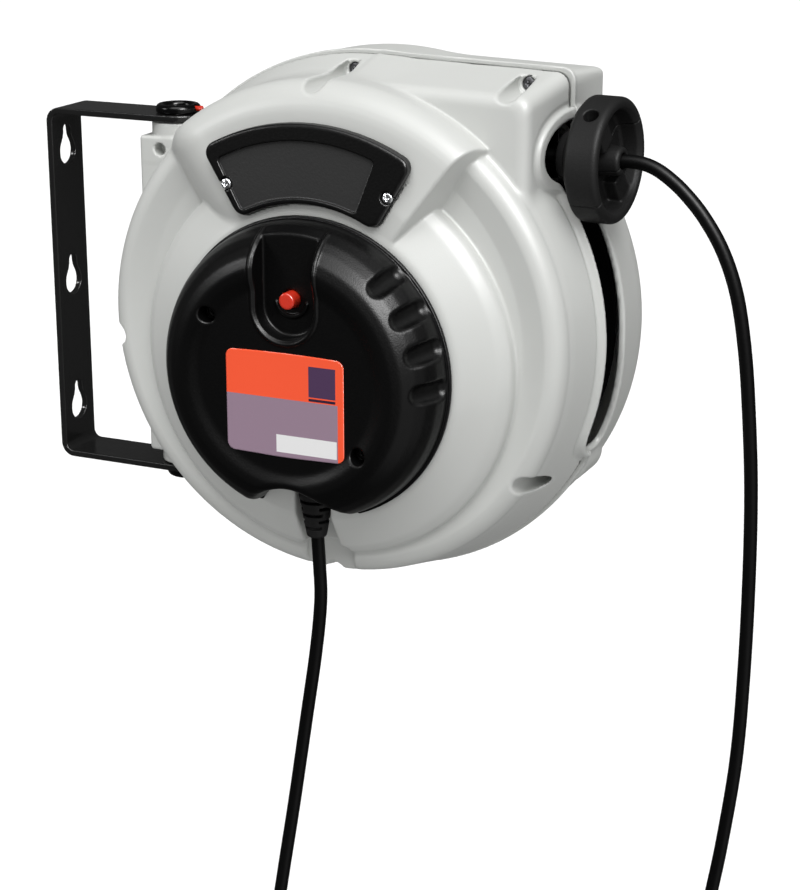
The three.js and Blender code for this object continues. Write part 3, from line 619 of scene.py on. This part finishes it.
def corner_block(x, y, z, front):
    """The square upper corner that holds the cord mouth, drafted towards the front."""
    lean = np.minimum(y, 0)
    right = (x - 128 - 0.17 * lean) / 1.014
    top = (z - 159.3 + 0.029 * x - 0.22 * lean) / 1.024
    body = smax(right, top, 9)
    body = smax(body, front - y, 7)
    body = smax(body, 58 - z, 3)
    return smax(body, 8 - x, 3)


def screw_channels(x, y, z):
    """Half-round channels down to the shell screws, each with its hole."""
    field = np.full(x.shape, 1e3)
    for sx, sz in SCREWS:
        radius = np.hypot(x - sx, z - sz)
        channel = smax(radius - 6.3, y + 14, 1.5)
        field = np.minimum(field, smin(channel, smax(radius - 4.3, y + 4, 0.5), 0.6))
    return field


def cord_channel(x, y, z):
    upper = smax(smax(np.abs(x) - 11.5, y + 57.5, 3), z + 72, 3)
    lower = smax(smax(np.abs(x) - 15.5, y + 53, 4), z + 127, 3)
    return smin(upper, lower, 1)


def lug_field(x, y, z, top_left):
    """Swivel lugs at the upper and lower left corners."""
    height = np.abs(z)
    body = smax(smax(between(x, -149.5, -113.5), between(height, 58, 101.5), 2), np.abs(y) - 17, 2)
    collar = smax(np.hypot(x - PIVOT_X, y) - 16.5, between(height, 96, 110), 1.5)
    field = smin(body, collar, 1.2)
    if top_left:
        guard = smax(smax(between(x, -150.5, -146.4), between(height, 60, 111), 2.5), np.abs(y) - 15, 3)
        field = smin(field, guard, 0.8)
    line = np.maximum(np.abs(height - 84) - 0.6, -(np.abs(y) - 16.3))
    field = smax(field, -line, 0.4)
    bore = np.maximum(np.hypot(x - PIVOT_X, y) - 5.3, 86 - height)
    field = smax(field, -bore, 0.6)
    peg = np.maximum(np.hypot(x + 135.4, height - 93.6) - 3.8, y + 8)
    field = smax(field, -peg, 0.6)
    return np.maximum(field, 141.5 - np.hypot(x, z))


def arm_notch(x, y, z):
    return np.maximum(np.hypot(x - PIVOT_X, y) - 19.8, 110.2 - np.abs(z))


def front_outer(x, y, z):
    radius = np.hypot(x, z)
    main = MAIN(radius, y)
    step = STEP(np.hypot(x, z - CAP_Z), y)
    over = np.abs(x) * FAN_SIN - (z - CAP_Z) * FAN_COS
    side = np.where(x < 0, (over - 0.9 * (y + 81)) / 1.345, (over - 0.28 * (y + 80)) / 1.038)
    fan = smax(FAN(radius, y), side, np.where(x < 0, 12, 1.8))
    block = corner_block(x, y, z, -50)
    outer = smin(main, block, 3.5)
    outer = smin(outer, step, 2.2)
    outer = smin(outer, fan, 1.6)
    return smax(outer, -cord_channel(x, y, z), 2.5)


def opened(p, shell, skin, lip_back, opening, top_left):
    """Lines the openings with a lip and cuts them, then adds the lugs."""
    x, y, z = p.T
    lip = smax(smax(opening - 4, skin, 0.8), -lip_back, 0.8)
    shell = smin(shell, np.maximum(lip, 116 - x), 0.5)
    shell = smax(shell, -opening, 1.6)
    shell = smin(shell, lug_field(x, y, z, top_left), 1.0)
    return smax(shell, -arm_notch(x, y, z), 0.8)


def front_shell(p):
    x, y, z = p.T
    slot, mouth, opening = openings(x, y, z)
    bare = front_outer(x, y, z)
    skin = opening_rim(x, bare, slot, mouth)
    grooves = screw_channels(x, y, z)
    recess = smax(-(bare + 2.2), -(y + SEAM_FRONT), 0.6)
    recess = np.maximum(recess, 6.5 - opening)
    outer = smax(skin, -recess, 0.9)
    outer = smax(outer, -grooves, 1.6)
    shell = smax(outer, -(smax(bare, -grooves, 1.6) + WALL + 1.2), 0.6)
    shell = opened(p, shell, skin, bare + 6.5, opening, False)
    pocket = np.maximum(COVER(x, z) - 0.5, y + 79)
    shell = smax(shell, -pocket, 0.3)
    return smax(shell, y + PART, 0.5)


def rear_shell(p):
    x, y, z = p.T
    radius = np.hypot(x, z)
    block = corner_block(x, np.zeros_like(y), z, -40)
    falling = smax(block + 1.2, z - 158.6 + 0.029 * x + 0.085 * y, 3)
    outer = smin(REAR(radius, y) + 1.0, smax(falling, y - BLOCK_REAR_Y, 7), 3)
    outline = smin(radius - HOUSING_R, block, 2)
    rim = smax(outline - 0.9, between(y, -6, 4.6), 1.6)
    outer = smin(outer, rim, 0.8)
    boss = smax(np.hypot(x - SCREWS[2][0], z - SCREWS[2][1]) - 16.0, between(y, 3, 36), 4)
    outer = smin(outer, boss, 1.5)
    hub = smax(radius - 34, y - REAR_Y - 1.2, 1.5)
    ring = smax(np.abs(radius - 96) - 3, y - REAR_Y - 1.0, 1.5)
    outer = smin(outer, np.minimum(hub, ring), 1.5)
    _, mouth, opening = openings(x, y, z)
    skin = outer - 1.6 * falls((mouth - 6.4) * 2) * right_side(x)
    shell = smax(skin, -(outer + WALL), 0.6)
    shell = smax(shell, -(radius - 8.6), 0.8)
    shell = opened(p, shell, skin, outer + 4.0, opening, True)
    return smax(shell, PART - y, 0.5)


# ---- centre cap ----
CAP = Outline([
    (-40, CAP_BACK), (CAP_R - 1.6, CAP_BACK), (CAP_R - 2, CAP_FRONT + 27), (CAP_R - 3.2, CAP_FRONT + 20.5),
    (CAP_R - 6.4, CAP_FRONT + 13.5), (CAP_R - 10.8, CAP_FRONT + 7.5), (CAP_R - 16.5, CAP_FRONT + 2.4),
    (CAP_R - 22.5, CAP_FRONT + 0.1), (CAP_R - 28, CAP_FRONT + 0.5), (CAP_R - 32, CAP_FRONT + 2.2),
    (CAP_R - 34.5, CAP_FACE), (-40, CAP_FACE),
], 1.2)
RIM = Outline([(60, CAP_BACK), (CAP_R, CAP_BACK), (CAP_R, -85.4), (60, -85.4)], 0.4)


def recess_field(x, z, half, bottom):
    """Slot with a round lower end, open at the top."""
    return np.where(z > bottom + half, np.abs(x) - half, np.hypot(x, z - bottom - half) - half)


def scoop(across, out, y, inner, outer):
    """Distance to the line from inner to outer, in the plane of the cap's axis."""
    du, dv = outer[0] - inner[0], outer[1] - inner[1]
    share = np.clip(((out - inner[0]) * du + (y - inner[1]) * dv) / (du * du + dv * dv), 0, 1)
    return np.sqrt(across ** 2 + (out - inner[0] - share * du) ** 2 + (y - inner[1] - share * dv) ** 2)


def centre_cap(p):
    x, y, z = p.T
    up = z - CAP_Z
    radius = np.hypot(x, up)
    scallop = np.hypot(x, up + 98) - 33
    body = smax(CAP(radius, y), -scallop, 6)
    rim = smax(RIM(radius, y), -(scallop - 1), 2)
    flutes = np.full(x.shape, 1e3)
    for at in (0.0, 15.6, 31.0, 46.6):
        turn = math.radians(at)
        across = up * math.cos(turn) - x * math.sin(turn)
        out = x * math.cos(turn) + up * math.sin(turn)
        ends = (CAP_R - 7.5, CAP_FRONT + 8), (CAP_R - 1, CAP_FRONT + 25)
        flutes = np.minimum(flutes, smax(scoop(across, out, y, *ends) - 6.0, y + 86.2, 1))
    body = smax(body, -flutes, 2.2)
    body = smin(body, rim, 0.6)
    recess = recess_field(x, up, 18.2, 24)
    lip_top = CAP(radius, y) - 1.1
    lip = smax(np.abs(recess - 2.3) - 1.1, lip_top, 1.2)
    lip = np.maximum(lip, y + 98)
    body = smin(body, lip, 1.0)
    well = smax(recess, y + 104, 2.2)
    body = smax(body, -well, 1.2)
    dish = smax(smax(np.abs(np.hypot(x, z - BUTTON_Z) - 10) - 1.1, y + 103, 0.8), -105.3 - y, 0.8)
    body = smin(body, smax(dish, z - BUTTON_Z + 1, 2), 0.8)
    body = smax(body, -(np.hypot(x, z - BUTTON_Z) - 5.6), 0.5)
    for sx, sz in CAP_SCREWS:
        hole = smax(np.hypot(x - sx, up - sz) - 4.8, y + 106, 0.6)
        body = smax(body, -hole, 1.6)
    hollow = smax(radius - 79, -106 - y, 3)
    hollow = smax(hollow, -(scallop - 5), 3)
    hollow = smax(hollow, -smax(recess - 3, y + 100.8, 1), 1)
    for sx, sz in CAP_SCREWS:
        hollow = smax(hollow, -(np.hypot(x - sx, up - sz) - 8), 1)
    hollow = smax(hollow, -(flutes - 3), 1)
    body = smax(body, -hollow, 0.6)
    return smax(body, y - CAP_BACK, 0.4)


def reset_button(p):
    x, y, z = p.T
    radius = np.hypot(x, z - BUTTON_Z)
    stem = smax(radius - 4.9, between(y, -111.2, -99), 1.6)
    flange = smax(radius - 7.5, between(y, -100.2, -98.8), 0.4)
    return smin(stem, flange, 0.4)


# ---- label ----
def maths(nodes, links, operation, value, second):
    """Output of a maths node; second is a socket or a number."""
    node = nodes.new("ShaderNodeMath")
    node.operation = operation
    links.new(value, node.inputs[0])
    if isinstance(second, float):
        node.inputs[1].default_value = second
    else:
        links.new(second, node.inputs[1])
    return node.outputs[0]


def lies_between(nodes, links, axis, low, high):
    """1 where the object coordinate, in metres, lies between the two bounds."""
    where = nodes.new("ShaderNodeTexCoord")
    split = nodes.new("ShaderNodeSeparateXYZ")
    links.new(where.outputs["Object"], split.inputs[0])
    above = maths(nodes, links, "GREATER_THAN", split.outputs[axis], low)
    below = maths(nodes, links, "LESS_THAN", split.outputs[axis], high)
    return maths(nodes, links, "MULTIPLY", above, below)


def label_material():
    """Printed film in plain colour fields, with no lettering."""
    mat = material("label_print", (1.0, 0.098, 0.030), 0.32, grain=0.03, tone=0.03, coat=0.4)
    nodes, links = mat.node_tree.nodes, mat.node_tree.links
    base = nodes["Principled BSDF"].inputs["Base Color"]
    colour = base.links[0].from_socket
    x, _, z = row((0, 0, LABEL_Z))
    for tint, x_range, z_range in LABEL_FIELDS:
        masks = [lies_between(nodes, links, axis, middle + span[0] * MM, middle + span[1] * MM)
                 for axis, middle, span in (("X", x, x_range), ("Z", z, z_range))]
        colour = mixed(nodes, links, maths(nodes, links, "MULTIPLY", *masks), colour, tint)
    links.new(colour, base)
    return mat


MAUVE = (0.31, 0.215, 0.285)
STRIPE = (0.03, 0.012, 0.04)
PURPLE = (0.075, 0.035, 0.095)
PAPER = (0.82, 0.82, 0.82)
LABEL_FIELDS = [
    (MAUVE, (-40, 33.7), (-32, 4.0)),
    (PURPLE, (15.5, 32.4), (7.0, 25.0)),
    (STRIPE, (15.5, 32.4), (4.6, 6.2)),
    (PAPER, (-5.5, 33.0), (-28.0, -17.5)),
]


def rating_label(p):
    x, y, z = p.T
    up = z - LABEL_Z
    bow = 0.9 * (1 - (x / 37.5) ** 2)
    outline = rounded_box(x, up * 30 / (30 + bow), 37.5, 30, 4.5)
    return smax(outline, between(y, -115.0, -114.2), 0.2)


# ---- arc cover ----
PANEL = Outline(sector(86.5, 119, 68.5, 118, 2.5), 0.3)


def arc_cover(p):
    x, y, z = p.T
    edge = COVER(x, z)
    body = smax(edge, between(y, COVER_FRONT, -79.3), 2.6)
    panel = smax(PANEL(x, z), y - (COVER_FRONT + 1.9), 0.5)
    body = smax(body, -panel, 0.8)
    for sx in (-51, 51):
        seat = smax(np.hypot(x - sx, z - 91) - 3.8, y - (COVER_FRONT + 3), 0.4)
        body = smax(body, -seat, 0.5)
    return body


def cover_material():
    """Black frame round a greyer sunk panel."""
    mat = material("cover_black", (0.003, 0.003, 0.003), 0.36, grain=0.4, scale=700, spec=0.3)
    nodes, links = mat.node_tree.nodes, mat.node_tree.links
    base = nodes["Principled BSDF"].inputs["Base Color"]
    sunk = lies_between(nodes, links, "Y", (COVER_FRONT + 1.2) * MM, (COVER_FRONT + 2.4) * MM)
    links.new(mixed(nodes, links, sunk, base.links[0].from_socket, (0.034, 0.034, 0.034)), base)
    return mat


# ---- bracket ----
def bracket(p):
    x, y, z = p.T
    bend = 9.0
    u = x - PLATE_X - bend
    v = np.abs(z) - (BRACKET_HALF - bend)
    outside = np.where((u < 0) & (v > 0), np.hypot(u, v) - bend, np.maximum(-u, v) - bend)
    strip = smax(outside, -(outside + 4), 0.9)
    strip = smax(strip, np.abs(y) - STRIP_HALF, 0.9)
    tip = np.where(x > PIVOT_X, np.hypot(x - PIVOT_X, y) - STRIP_HALF, -10)
    strip = smax(strip, tip, 0.9)
    strip = smax(strip, -(np.hypot(x - PIVOT_X, y) - 5.4), 0.5)
    for at in (89, 4.5, -80):
        head = np.hypot(y, z - at + 4.5) - 8.5
        neck = smax(np.hypot(y, np.maximum(z - at - 9, 0)) - 4.0, at - 5 - z, 1)
        hole = np.maximum(smin(head, neck, 5), x - PLATE_X - 20)
        strip = smax(strip, -hole, 0.7)
    return strip


# ---- mouth ring, stopper, boot ----
def mouth_ring(p):
    x, y, z = p.T
    mouth = mouth_field(y, z)
    body = smax(between(mouth, -3, -0.4), between(x, 116, 121), 1.0)
    for low in (CORD_Y - 19.5, CORD_Y + 16.5):
        cheek = smax(between(y, low, low + WALL), between(x, 99, 119), 1)
        cheek = smax(cheek, between(z, CORD_Z - 17, CORD_Z + 19), 1)
        body = smin(body, smax(cheek, -np.maximum(mouth + 3, 115.9 - x), 0.5), 0.8)
    for side in (1, -1):
        hole = np.hypot(x - 106, z - CORD_Z - side * 10.4) - 2.4
        body = smax(body, -hole, 0.4)
    return body


STOPPER_R = 36.0
CLAMP_X = 151.0
DISH_X = 148.0
STOPPER = Outline([
    (4.6, 126), (14, 126), (17, 132), (27, 137), (STOPPER_R - 3.5, 140.6),
    *arc(STOPPER_R - 2.5, 143.5, 2.5, -60, 0, 3), *arc(STOPPER_R - 3.5, 157, 3.5, 0, 90, 6),
    (STOPPER_R - 5.5, 160.2), (STOPPER_R - 7.5, 158), (STOPPER_R - 8.5, DISH_X + 1.5),
    (STOPPER_R - 10, DISH_X), (9.5, DISH_X), (8.2, 160.8), (7.0, 162), (4.6, 162),
], 0.4)
SPLIT = math.radians(38)
LEAN = math.radians(4.5)             # the disc leans to the front on its bending cord


def stopper(p):
    """The disc's field, with its coordinates across and along the joint between its halves."""
    dx, dy = p[:, 0] - CLAMP_X, p[:, 1] - CORD_Y
    x = CLAMP_X + dx * math.cos(LEAN) - dy * math.sin(LEAN)
    v = dy * math.cos(LEAN) + dx * math.sin(LEAN)
    w = p[:, 2] - CORD_Z
    along = v * math.cos(SPLIT) + w * math.sin(SPLIT)
    across = w * math.cos(SPLIT) - v * math.sin(SPLIT)
    body = STOPPER(np.hypot(v, w), x)
    boss = smax(np.abs(along) - 6.5, between(x, 140, CLAMP_X + 5.5), 2)
    boss = smax(boss, between(np.abs(across), 12, STOPPER_R - 3), 1)
    body = smin(body, boss, 2)
    hole = np.maximum(np.hypot(x - CLAMP_X, along) - 4.3, 24 - np.abs(across))
    return smax(body, -hole, 1.0), across


def stopper_half(side):
    """Field of the upper half, side 1, or the lower one, side -1."""
    def field(p):
        body, across = stopper(p)
        return smax(body, 0.12 - side * across, 0.4)

    return field


def slit(body, radius, turn, gap, number):
    """Cuts one ring of slits down to the sheath; every second ring is turned by a quarter."""
    window = np.abs(np.cos(turn + (number % 2) * math.pi / 2)) - 0.8
    return smax(body, -smax(smax(gap, window * 8, 0.4), 5.2 - radius, 0.4), 0.5)


def inlet_boot(p):
    x, y, z = p.T
    out = np.hypot(x, y - BOOT_Y)
    taper = np.interp(-z, [78, 92, 104, 119], [11.2, 10.8, 8.6, 5.9])
    body = smax(out - taper, between(z, -119, -78), 1.6)
    angle = np.arctan2(y - BOOT_Y, x)
    for i, level in enumerate(np.arange(-112.5, -86, 4.2)):
        body = slit(body, out, angle, np.abs(z - level) - 0.9, i)
    return smax(body, -(out - 4.05), 0.3)


MOULDINGS = [   # name, field, lowest and highest corner, step, body, material, CAD node
    ("front_shell_moulding", front_shell, (-163, -83, -163), (163, 0.5, 163), 1.3, "housing", GREY,
     "front_shell"),
    ("rear_shell_moulding", rear_shell, (-163, -0.5, -163), (163, 76, 163), 1.8, "housing", GREY,
     "rear_shell"),
    ("centre_cap_moulding", centre_cap, (-91, -119, CAP_Z - 91), (91, -82, CAP_Z + 91), 0.9, "housing",
     BLACK, "centre_cap"),
    ("reset_button_moulding", reset_button, (-8, -113, BUTTON_Z - 8), (8, -98, BUTTON_Z + 8), 0.6, "button",
     RED, "reset_button"),
    ("rating_label_film", rating_label, (-39, -116, LABEL_Z - 32), (39, -113, LABEL_Z + 32), 0.8, "housing",
     label_material(), "rating_label"),
    ("arc_cover_moulding", arc_cover, (-68, -89, 68), (68, -78, 131), 0.8, "housing", cover_material(),
     "arc_cover"),
    ("bracket_strip", bracket, (PLATE_X - 1, -18, -116), (PIVOT_X + 19, 18, 116), 1.1, "bracket", POWDER,
     "wall_bracket"),
    ("mouth_ring_moulding", mouth_ring, (98, -36, 88), (123, 36, 130), 0.8, "housing", BLACK_SMOOTH,
     "mouth_ring"),
    ("stopper_upper_moulding", stopper_half(1), (125, -47, 69), (171, 32, 145), 0.8, "outgoing_cord",
     RUBBER, "stopper_upper_half"),
    ("stopper_lower_moulding", stopper_half(-1), (125, -47, 69), (171, 32, 145), 0.8, "outgoing_cord",
     RUBBER, "stopper_lower_half"),
    ("inlet_boot_moulding", inlet_boot, (-13, -89, -121), (13, -63, -77), 0.6, "housing", RUBBER,
     "inlet_boot"),
]
for *piece, node in MOULDINGS:
    moulded(*piece, [node])


# ---- small round pieces ----
def screw(node, spot, seat, length, head_radius, shank_radius, mat):
    """Cross-recess pan-head screw that faces the front: its head stands on the seat station."""
    sx, sz = spot

    def field(p):
        x, y, z = p[:, 0] - sx, p[:, 1] - seat, p[:, 2] - sz
        radius = np.hypot(x, z)
        dome = np.sqrt(radius ** 2 + (y - 2 * head_radius + 2.3) ** 2) - 2 * head_radius
        head = smax(smax(radius - head_radius, dome, 0.6), y, 0.3)
        wide, high = np.abs(x), np.abs(z)
        arm = np.minimum(np.maximum(wide - 0.45, high - 1.7), np.maximum(high - 0.45, wide - 1.7))
        head = smax(head, -smax(arm, y + 0.9, 0.2), 0.2)
        turn = np.arctan2(z, x)
        thread = shank_radius - 0.25 + 0.22 * np.cos(2 * math.pi * y / 1.4 - turn)
        shank = smax(radius - thread, between(y, -0.5, length), 0.5)
        shank = smax(shank, radius - np.maximum(length - y, 0) * 0.8, 0.3)
        return np.minimum(head, shank)

    reach = head_radius + 0.5
    low = (sx - reach, seat - 3.2, sz - reach)
    high = (sx + reach, seat + length + 0.5, sz + reach)
    return moulded(f"{node}_turned", field, low, high, 0.35, "housing", mat, [node])


# The shell screws take the darkened zinc, painted shade for their deep channels; the cover screws keep the
# bright zinc.
for number, spot in enumerate(SCREWS, 1):
    screw(f"shell_screw_{number}", spot, -11.5, 35, 4.2, 2.1, SHADED_ZINC)
for side, sx in (("left", -51), ("right", 51)):
    screw(f"arc_cover_screw_{side}", (sx, 91), COVER_FRONT + 2.7, 17, 3.2, 1.6, ZINC)
for side, (sx, sz) in zip(("left", "right"), CAP_SCREWS):
    screw(f"cap_screw_{side}", (sx, CAP_Z + sz), -105.3, 21, 3.7, 1.9, POWDER)


RING = Outline([
    (-9, 115.5), (4.4, 115.5), (4.8, 117.6), (6.6, 117.9), (7.3, 116.4), (8.3, 116.4),
    *arc(11.2, 117.4, 2.7, 180, 0, 12), (13.9, 115.15), (-9, 115.15),
], 0.2)


LOCK_Z = 117.6                       # height of the lock pin above the drum axis


def pivot_ring(side):
    """Field of the dished ring that closes a swivel pin; the upper one is bored for the lock pin."""
    def field(p):
        x, y, z = p.T
        bore = smax(np.hypot(y, z - LOCK_Z) - 2.3, PIVOT_X + 4 - x, 0.2)
        return smax(RING(np.hypot(x - PIVOT_X, y), side * z), -bore, 0.2)

    return field


for name, side, low in (("upper", 1, 114), ("lower", -1, -121.5)):
    moulded(f"{name}_pivot_cap_ring", pivot_ring(side), (PIVOT_X - 15, -15, low),
            (PIVOT_X + 15, 15, low + 7.5), 0.4, "bracket", BLACK_SMOOTH, [f"{name}_pivot_cap"])


# ---- drum, wound cable and rollers ----
DRUM_FRONT, DRUM_REAR = box_mm("drum_front_flange")[0][1], box_mm("drum_rear_flange")[1][1]
CORE_R = 80.0
LAYERS = 3
TURNS_PER_LAYER = 8.4


def drum():
    """Rolled-edge flanges, and the cord wound between them in layers."""
    for name, inner, outer in (("front", DRUM_FRONT + 3, DRUM_FRONT), ("rear", DRUM_REAR - 3, DRUM_REAR)):
        step = math.copysign(1, outer - inner)
        rim = half_size(f"drum_{name}_flange")[0]
        turned(f"drum_{name}_flange_pressed", [
            (60, inner), (60, outer), (66, outer), (68, outer - step), (104, outer - step), (106, outer),
            (rim - 3.5, outer), (rim - 2, outer - step * 0.4), (rim, outer - step * 1.4),
            (rim, inner + step * 0.4), (rim - 2, inner),
        ], "drum", INNER, replaces=[f"drum_{name}_flange"])
    points = []
    low, high = DRUM_FRONT + 7.2, DRUM_REAR - 7.2
    for layer in range(LAYERS):
        radius = CORE_R + 4.3 + 7.2 * layer
        steps = int(TURNS_PER_LAYER * 36)
        for i in range(steps):
            share = i / steps
            angle = 2 * math.pi * TURNS_PER_LAYER * (layer + share)
            across = low + (high - low) * (share if layer % 2 == 0 else 1 - share)
            points.append((radius * math.cos(angle), across, radius * math.sin(angle)))
    cord_curve("wound_cable_turns", np.array(points), CORD_D, "drum", DULL_SHEATH, ["wound_cable"])


drum()


def guide_rollers():
    for name in ("upper", "lower"):
        centre = middle(f"guide_roller_{name}") - AXIS
        half = half_size(f"guide_roller_{name}")[1]
        profile = [(0, -half), (1.9, -half), (1.9, 3.3 - half), (6, 3.6 - half), (5.2, 7.5 - half),
                   (5.2, half - 7.5), (6, half - 3.6), (1.9, half - 3.3), (1.9, half), (0, half)]
        turned(f"guide_roller_{name}_waisted", profile, f"roller_{name}", INNER, "y", centre,
               [f"guide_roller_{name}"], sides=48)


guide_rollers()


# ---- plug, socket and coil tie ----
def grip_body(profile, centre, ribs_from, ribs_to):
    """Field of a hand-held connector body: a turned profile with finger ribs along part of it."""
    radii, levels = zip(*profile)

    def field(p):
        x, y, z = p[:, 0] - centre[0], p[:, 1] - centre[1], p[:, 2] - centre[2]
        turn = np.arctan2(y, x)
        rib = 0.5 * np.cos(14 * turn) * np.clip(np.minimum(ribs_from - z, z - ribs_to) / 2, 0, 1)
        radius = np.hypot(x, y)
        body = (radius - rib - np.interp(-z, [-v for v in levels], radii)) * 0.8
        body = smax(body, between(z, levels[-1], levels[0]), 1.6)
        for i in range(4):
            body = slit(body, radius, turn, np.abs(z + 5 + 4.4 * i) - 0.8, i)
        return smax(body, -smax(radius - 4.05, -6 - z, 0.3), 0.3), x, y, z, radius

    return field


SOCKET_TOP = (228.0, CORD_Y, -369.2)
PLUG_TOP = (COIL_CENTRE[0] - COIL_R, BOOT_Y + COIL_WIDTH / 2, COIL_CENTRE[2] - 29)
SOCKET_SHAPE = grip_body([
    (6, 0), (9.2, -23), (14.5, -33), (18.6, -42), (20.4, -60), (24.6, -64.5), (25, -92),
], SOCKET_TOP, -36, -58)
PLUG_SHAPE = grip_body([(5.6, 0), (8, -18), (13.6, -26), (18.2, -34), (18.5, -50)], PLUG_TOP, -30, -44)
PIN_SPREAD = 9.5


def socket_body(p):
    body, x, y, z, radius = SOCKET_SHAPE(p)
    well = smax(radius - 21.6, z + 74, 1)
    body = smax(body, -well, 0.8)
    for side in (1, -1):
        body = smax(body, -np.maximum(np.hypot(x, y - side * PIN_SPREAD) - 2.5, z + 62), 0.5)
    return body


def plug_body(p):
    body, x, y, z, radius = PLUG_SHAPE(p)
    return smax(body, -smax(np.abs(radius - 15.2) - 0.5, z + 49.2, 0.3), 0.3)


def brass_pin(name, centre, top, bottom, radius, body, replaces=()):
    length = top - bottom
    profile = [(0, top), (radius, top), (radius, top - length * 0.86), (radius * 0.5, bottom), (0, bottom)]
    return turned(name, profile, body, BRASS, "z", centre, replaces, sides=40, bevel=0.6)


def coil_tie(p):
    """Hook-and-loop strap round the stored turns."""
    x, y, z = p[:, 0] - COIL_CENTRE[0], p[:, 1] - COIL_CENTRE[1], p[:, 2] - COIL_CENTRE[2]
    across = np.hypot(x, z) - COIL_R
    along = (np.arctan2(z, x) - math.radians(-50)) * COIL_R
    strap = rounded_box(across, y, 5.4, COIL_WIDTH / 2 + 5.4, 4.6)
    strap = smax(strap, -(strap + 1.1), 0.3)
    tail = smax(rounded_box(across - 6.2, y + 4, 0.6, 9, 0.5), np.abs(along) - 6.5, 0.4)
    return smin(smax(strap, np.abs(along) - 6.5, 0.4), tail, 0.3)


def moulded_around(name, field, centre, below, reach, step, body, mat, replaces=()):
    low = (centre[0] - reach, centre[1] - reach, centre[2] - below)
    high = (centre[0] + reach, centre[1] + reach, centre[2] + 1)
    return moulded(name, field, low, high, step, body, mat, replaces)


outlet_ends = [
    moulded_around("outlet_socket_moulding", socket_body, SOCKET_TOP, 93, 26, 0.9, "outgoing_cord", RUBBER,
                   ["outlet_socket"]),
    brass_pin("socket_earth_pin_turned", (SOCKET_TOP[0] + PIN_SPREAD, *SOCKET_TOP[1:]), -74.3, -90, 2.3,
              "outgoing_cord", ["socket_earth_pin"]),
]
inlet_ends = [
    moulded_around("inlet_plug_moulding", plug_body, PLUG_TOP, 51, 20, 0.9, "housing", RUBBER,
                   ["inlet_plug"]),
    moulded_around("inlet_coil_tie", coil_tie, (*COIL_CENTRE[:2], COIL_CENTRE[2] + 10), 62, 50, 0.6,
                   "housing", INNER),
]
for side, shift in (("left", -PIN_SPREAD), ("right", PIN_SPREAD)):
    inlet_ends.append(brass_pin(f"plug_pin_{side}_turned", (PLUG_TOP[0], PLUG_TOP[1] + shift, PLUG_TOP[2]),
                                -49.5, -69.3, 2.4, "housing"))


# ---- stage ----
LAMPS = [   # name, kind, offset from the housing in metres, strength, size, seen by matt surfaces
    ("key", "SUN", (0.45, -1.0, 1.9), 2.75, 50, True),
    ("fill", "SUN", (1.3, -0.7, -0.9), 0.5, 60, True),
    ("right box", "AREA", (1.4, -1.15, 1.4), 110, 0.9, False),
    ("left box", "AREA", (-1.7, -1.5, 1.0), 22, 0.6, False),
]
AMBIENT = 0.50                       # the studio's fill light; the backdrop itself is white
GLOSSY_AMBIENT = 0.07                # the dark room as glossy surfaces mirror it


def make_stage():
    bpy.ops.mesh.primitive_plane_add(size=30, location=(0, 0, cad_low.z - 0.25))
    floor = bpy.context.object
    floor.name = "floor"
    mat = bpy.data.materials.new("floor")
    mat.use_nodes = True
    set_inputs(mat.node_tree.nodes["Principled BSDF"], Base_Color=(0.93, 0.93, 0.93, 1), Roughness=0.9)
    floor.data.materials.append(mat)
    floor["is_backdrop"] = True
    world = bpy.data.worlds.new("studio")
    world.use_nodes = True
    nodes, links = world.node_tree.nodes, world.node_tree.links
    background = set_inputs(nodes["Background"], Color=(1, 1, 1, 1))
    seen = nodes.new("ShaderNodeLightPath")
    level = set_inputs(nodes.new("ShaderNodeMapRange"), To_Min=AMBIENT, To_Max=1.0)
    links.new(seen.outputs["Is Camera Ray"], level.inputs["Value"])
    gloss = set_inputs(nodes.new("ShaderNodeMapRange"), To_Max=GLOSSY_AMBIENT)
    links.new(seen.outputs["Is Glossy Ray"], gloss.inputs["Value"])
    links.new(level.outputs["Result"], gloss.inputs["To Min"])
    links.new(gloss.outputs["Result"], background.inputs["Strength"])
    bpy.context.scene.world = world
    bpy.context.scene.view_settings.view_transform = "Standard"
    floor.visible_diffuse = False
    floor.visible_glossy = False
    target = Vector(row((0, 0, 0)))
    for name, kind, offset, strength, size, matt in LAMPS:
        light = bpy.data.lights.new(name, kind)
        light.energy = strength
        if kind == "SUN":
            light.angle = math.radians(size)
        else:
            light.size = size
        lamp = bpy.data.objects.new(name, light)
        lamp.visible_diffuse = matt
        lamp.location = target + Vector(offset)
        lamp.rotation_euler = (target - lamp.location).to_track_quat("-Z", "Y").to_euler()
        bpy.context.scene.collection.objects.link(lamp)


make_stage()

tuple(outlet_exit)
tuple(inlet_exit)

for part in frame["record"]["subparts"]:
    node = frame["nodes"][part["node"]]
    node.data.materials.clear()
    node.data.materials.append(SLOT_MATERIAL.get(part["material_slot"], RED))

low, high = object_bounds()
{"cad": [list(cad_low), list(cad_high)], "visual": [list(low), list(high)]}
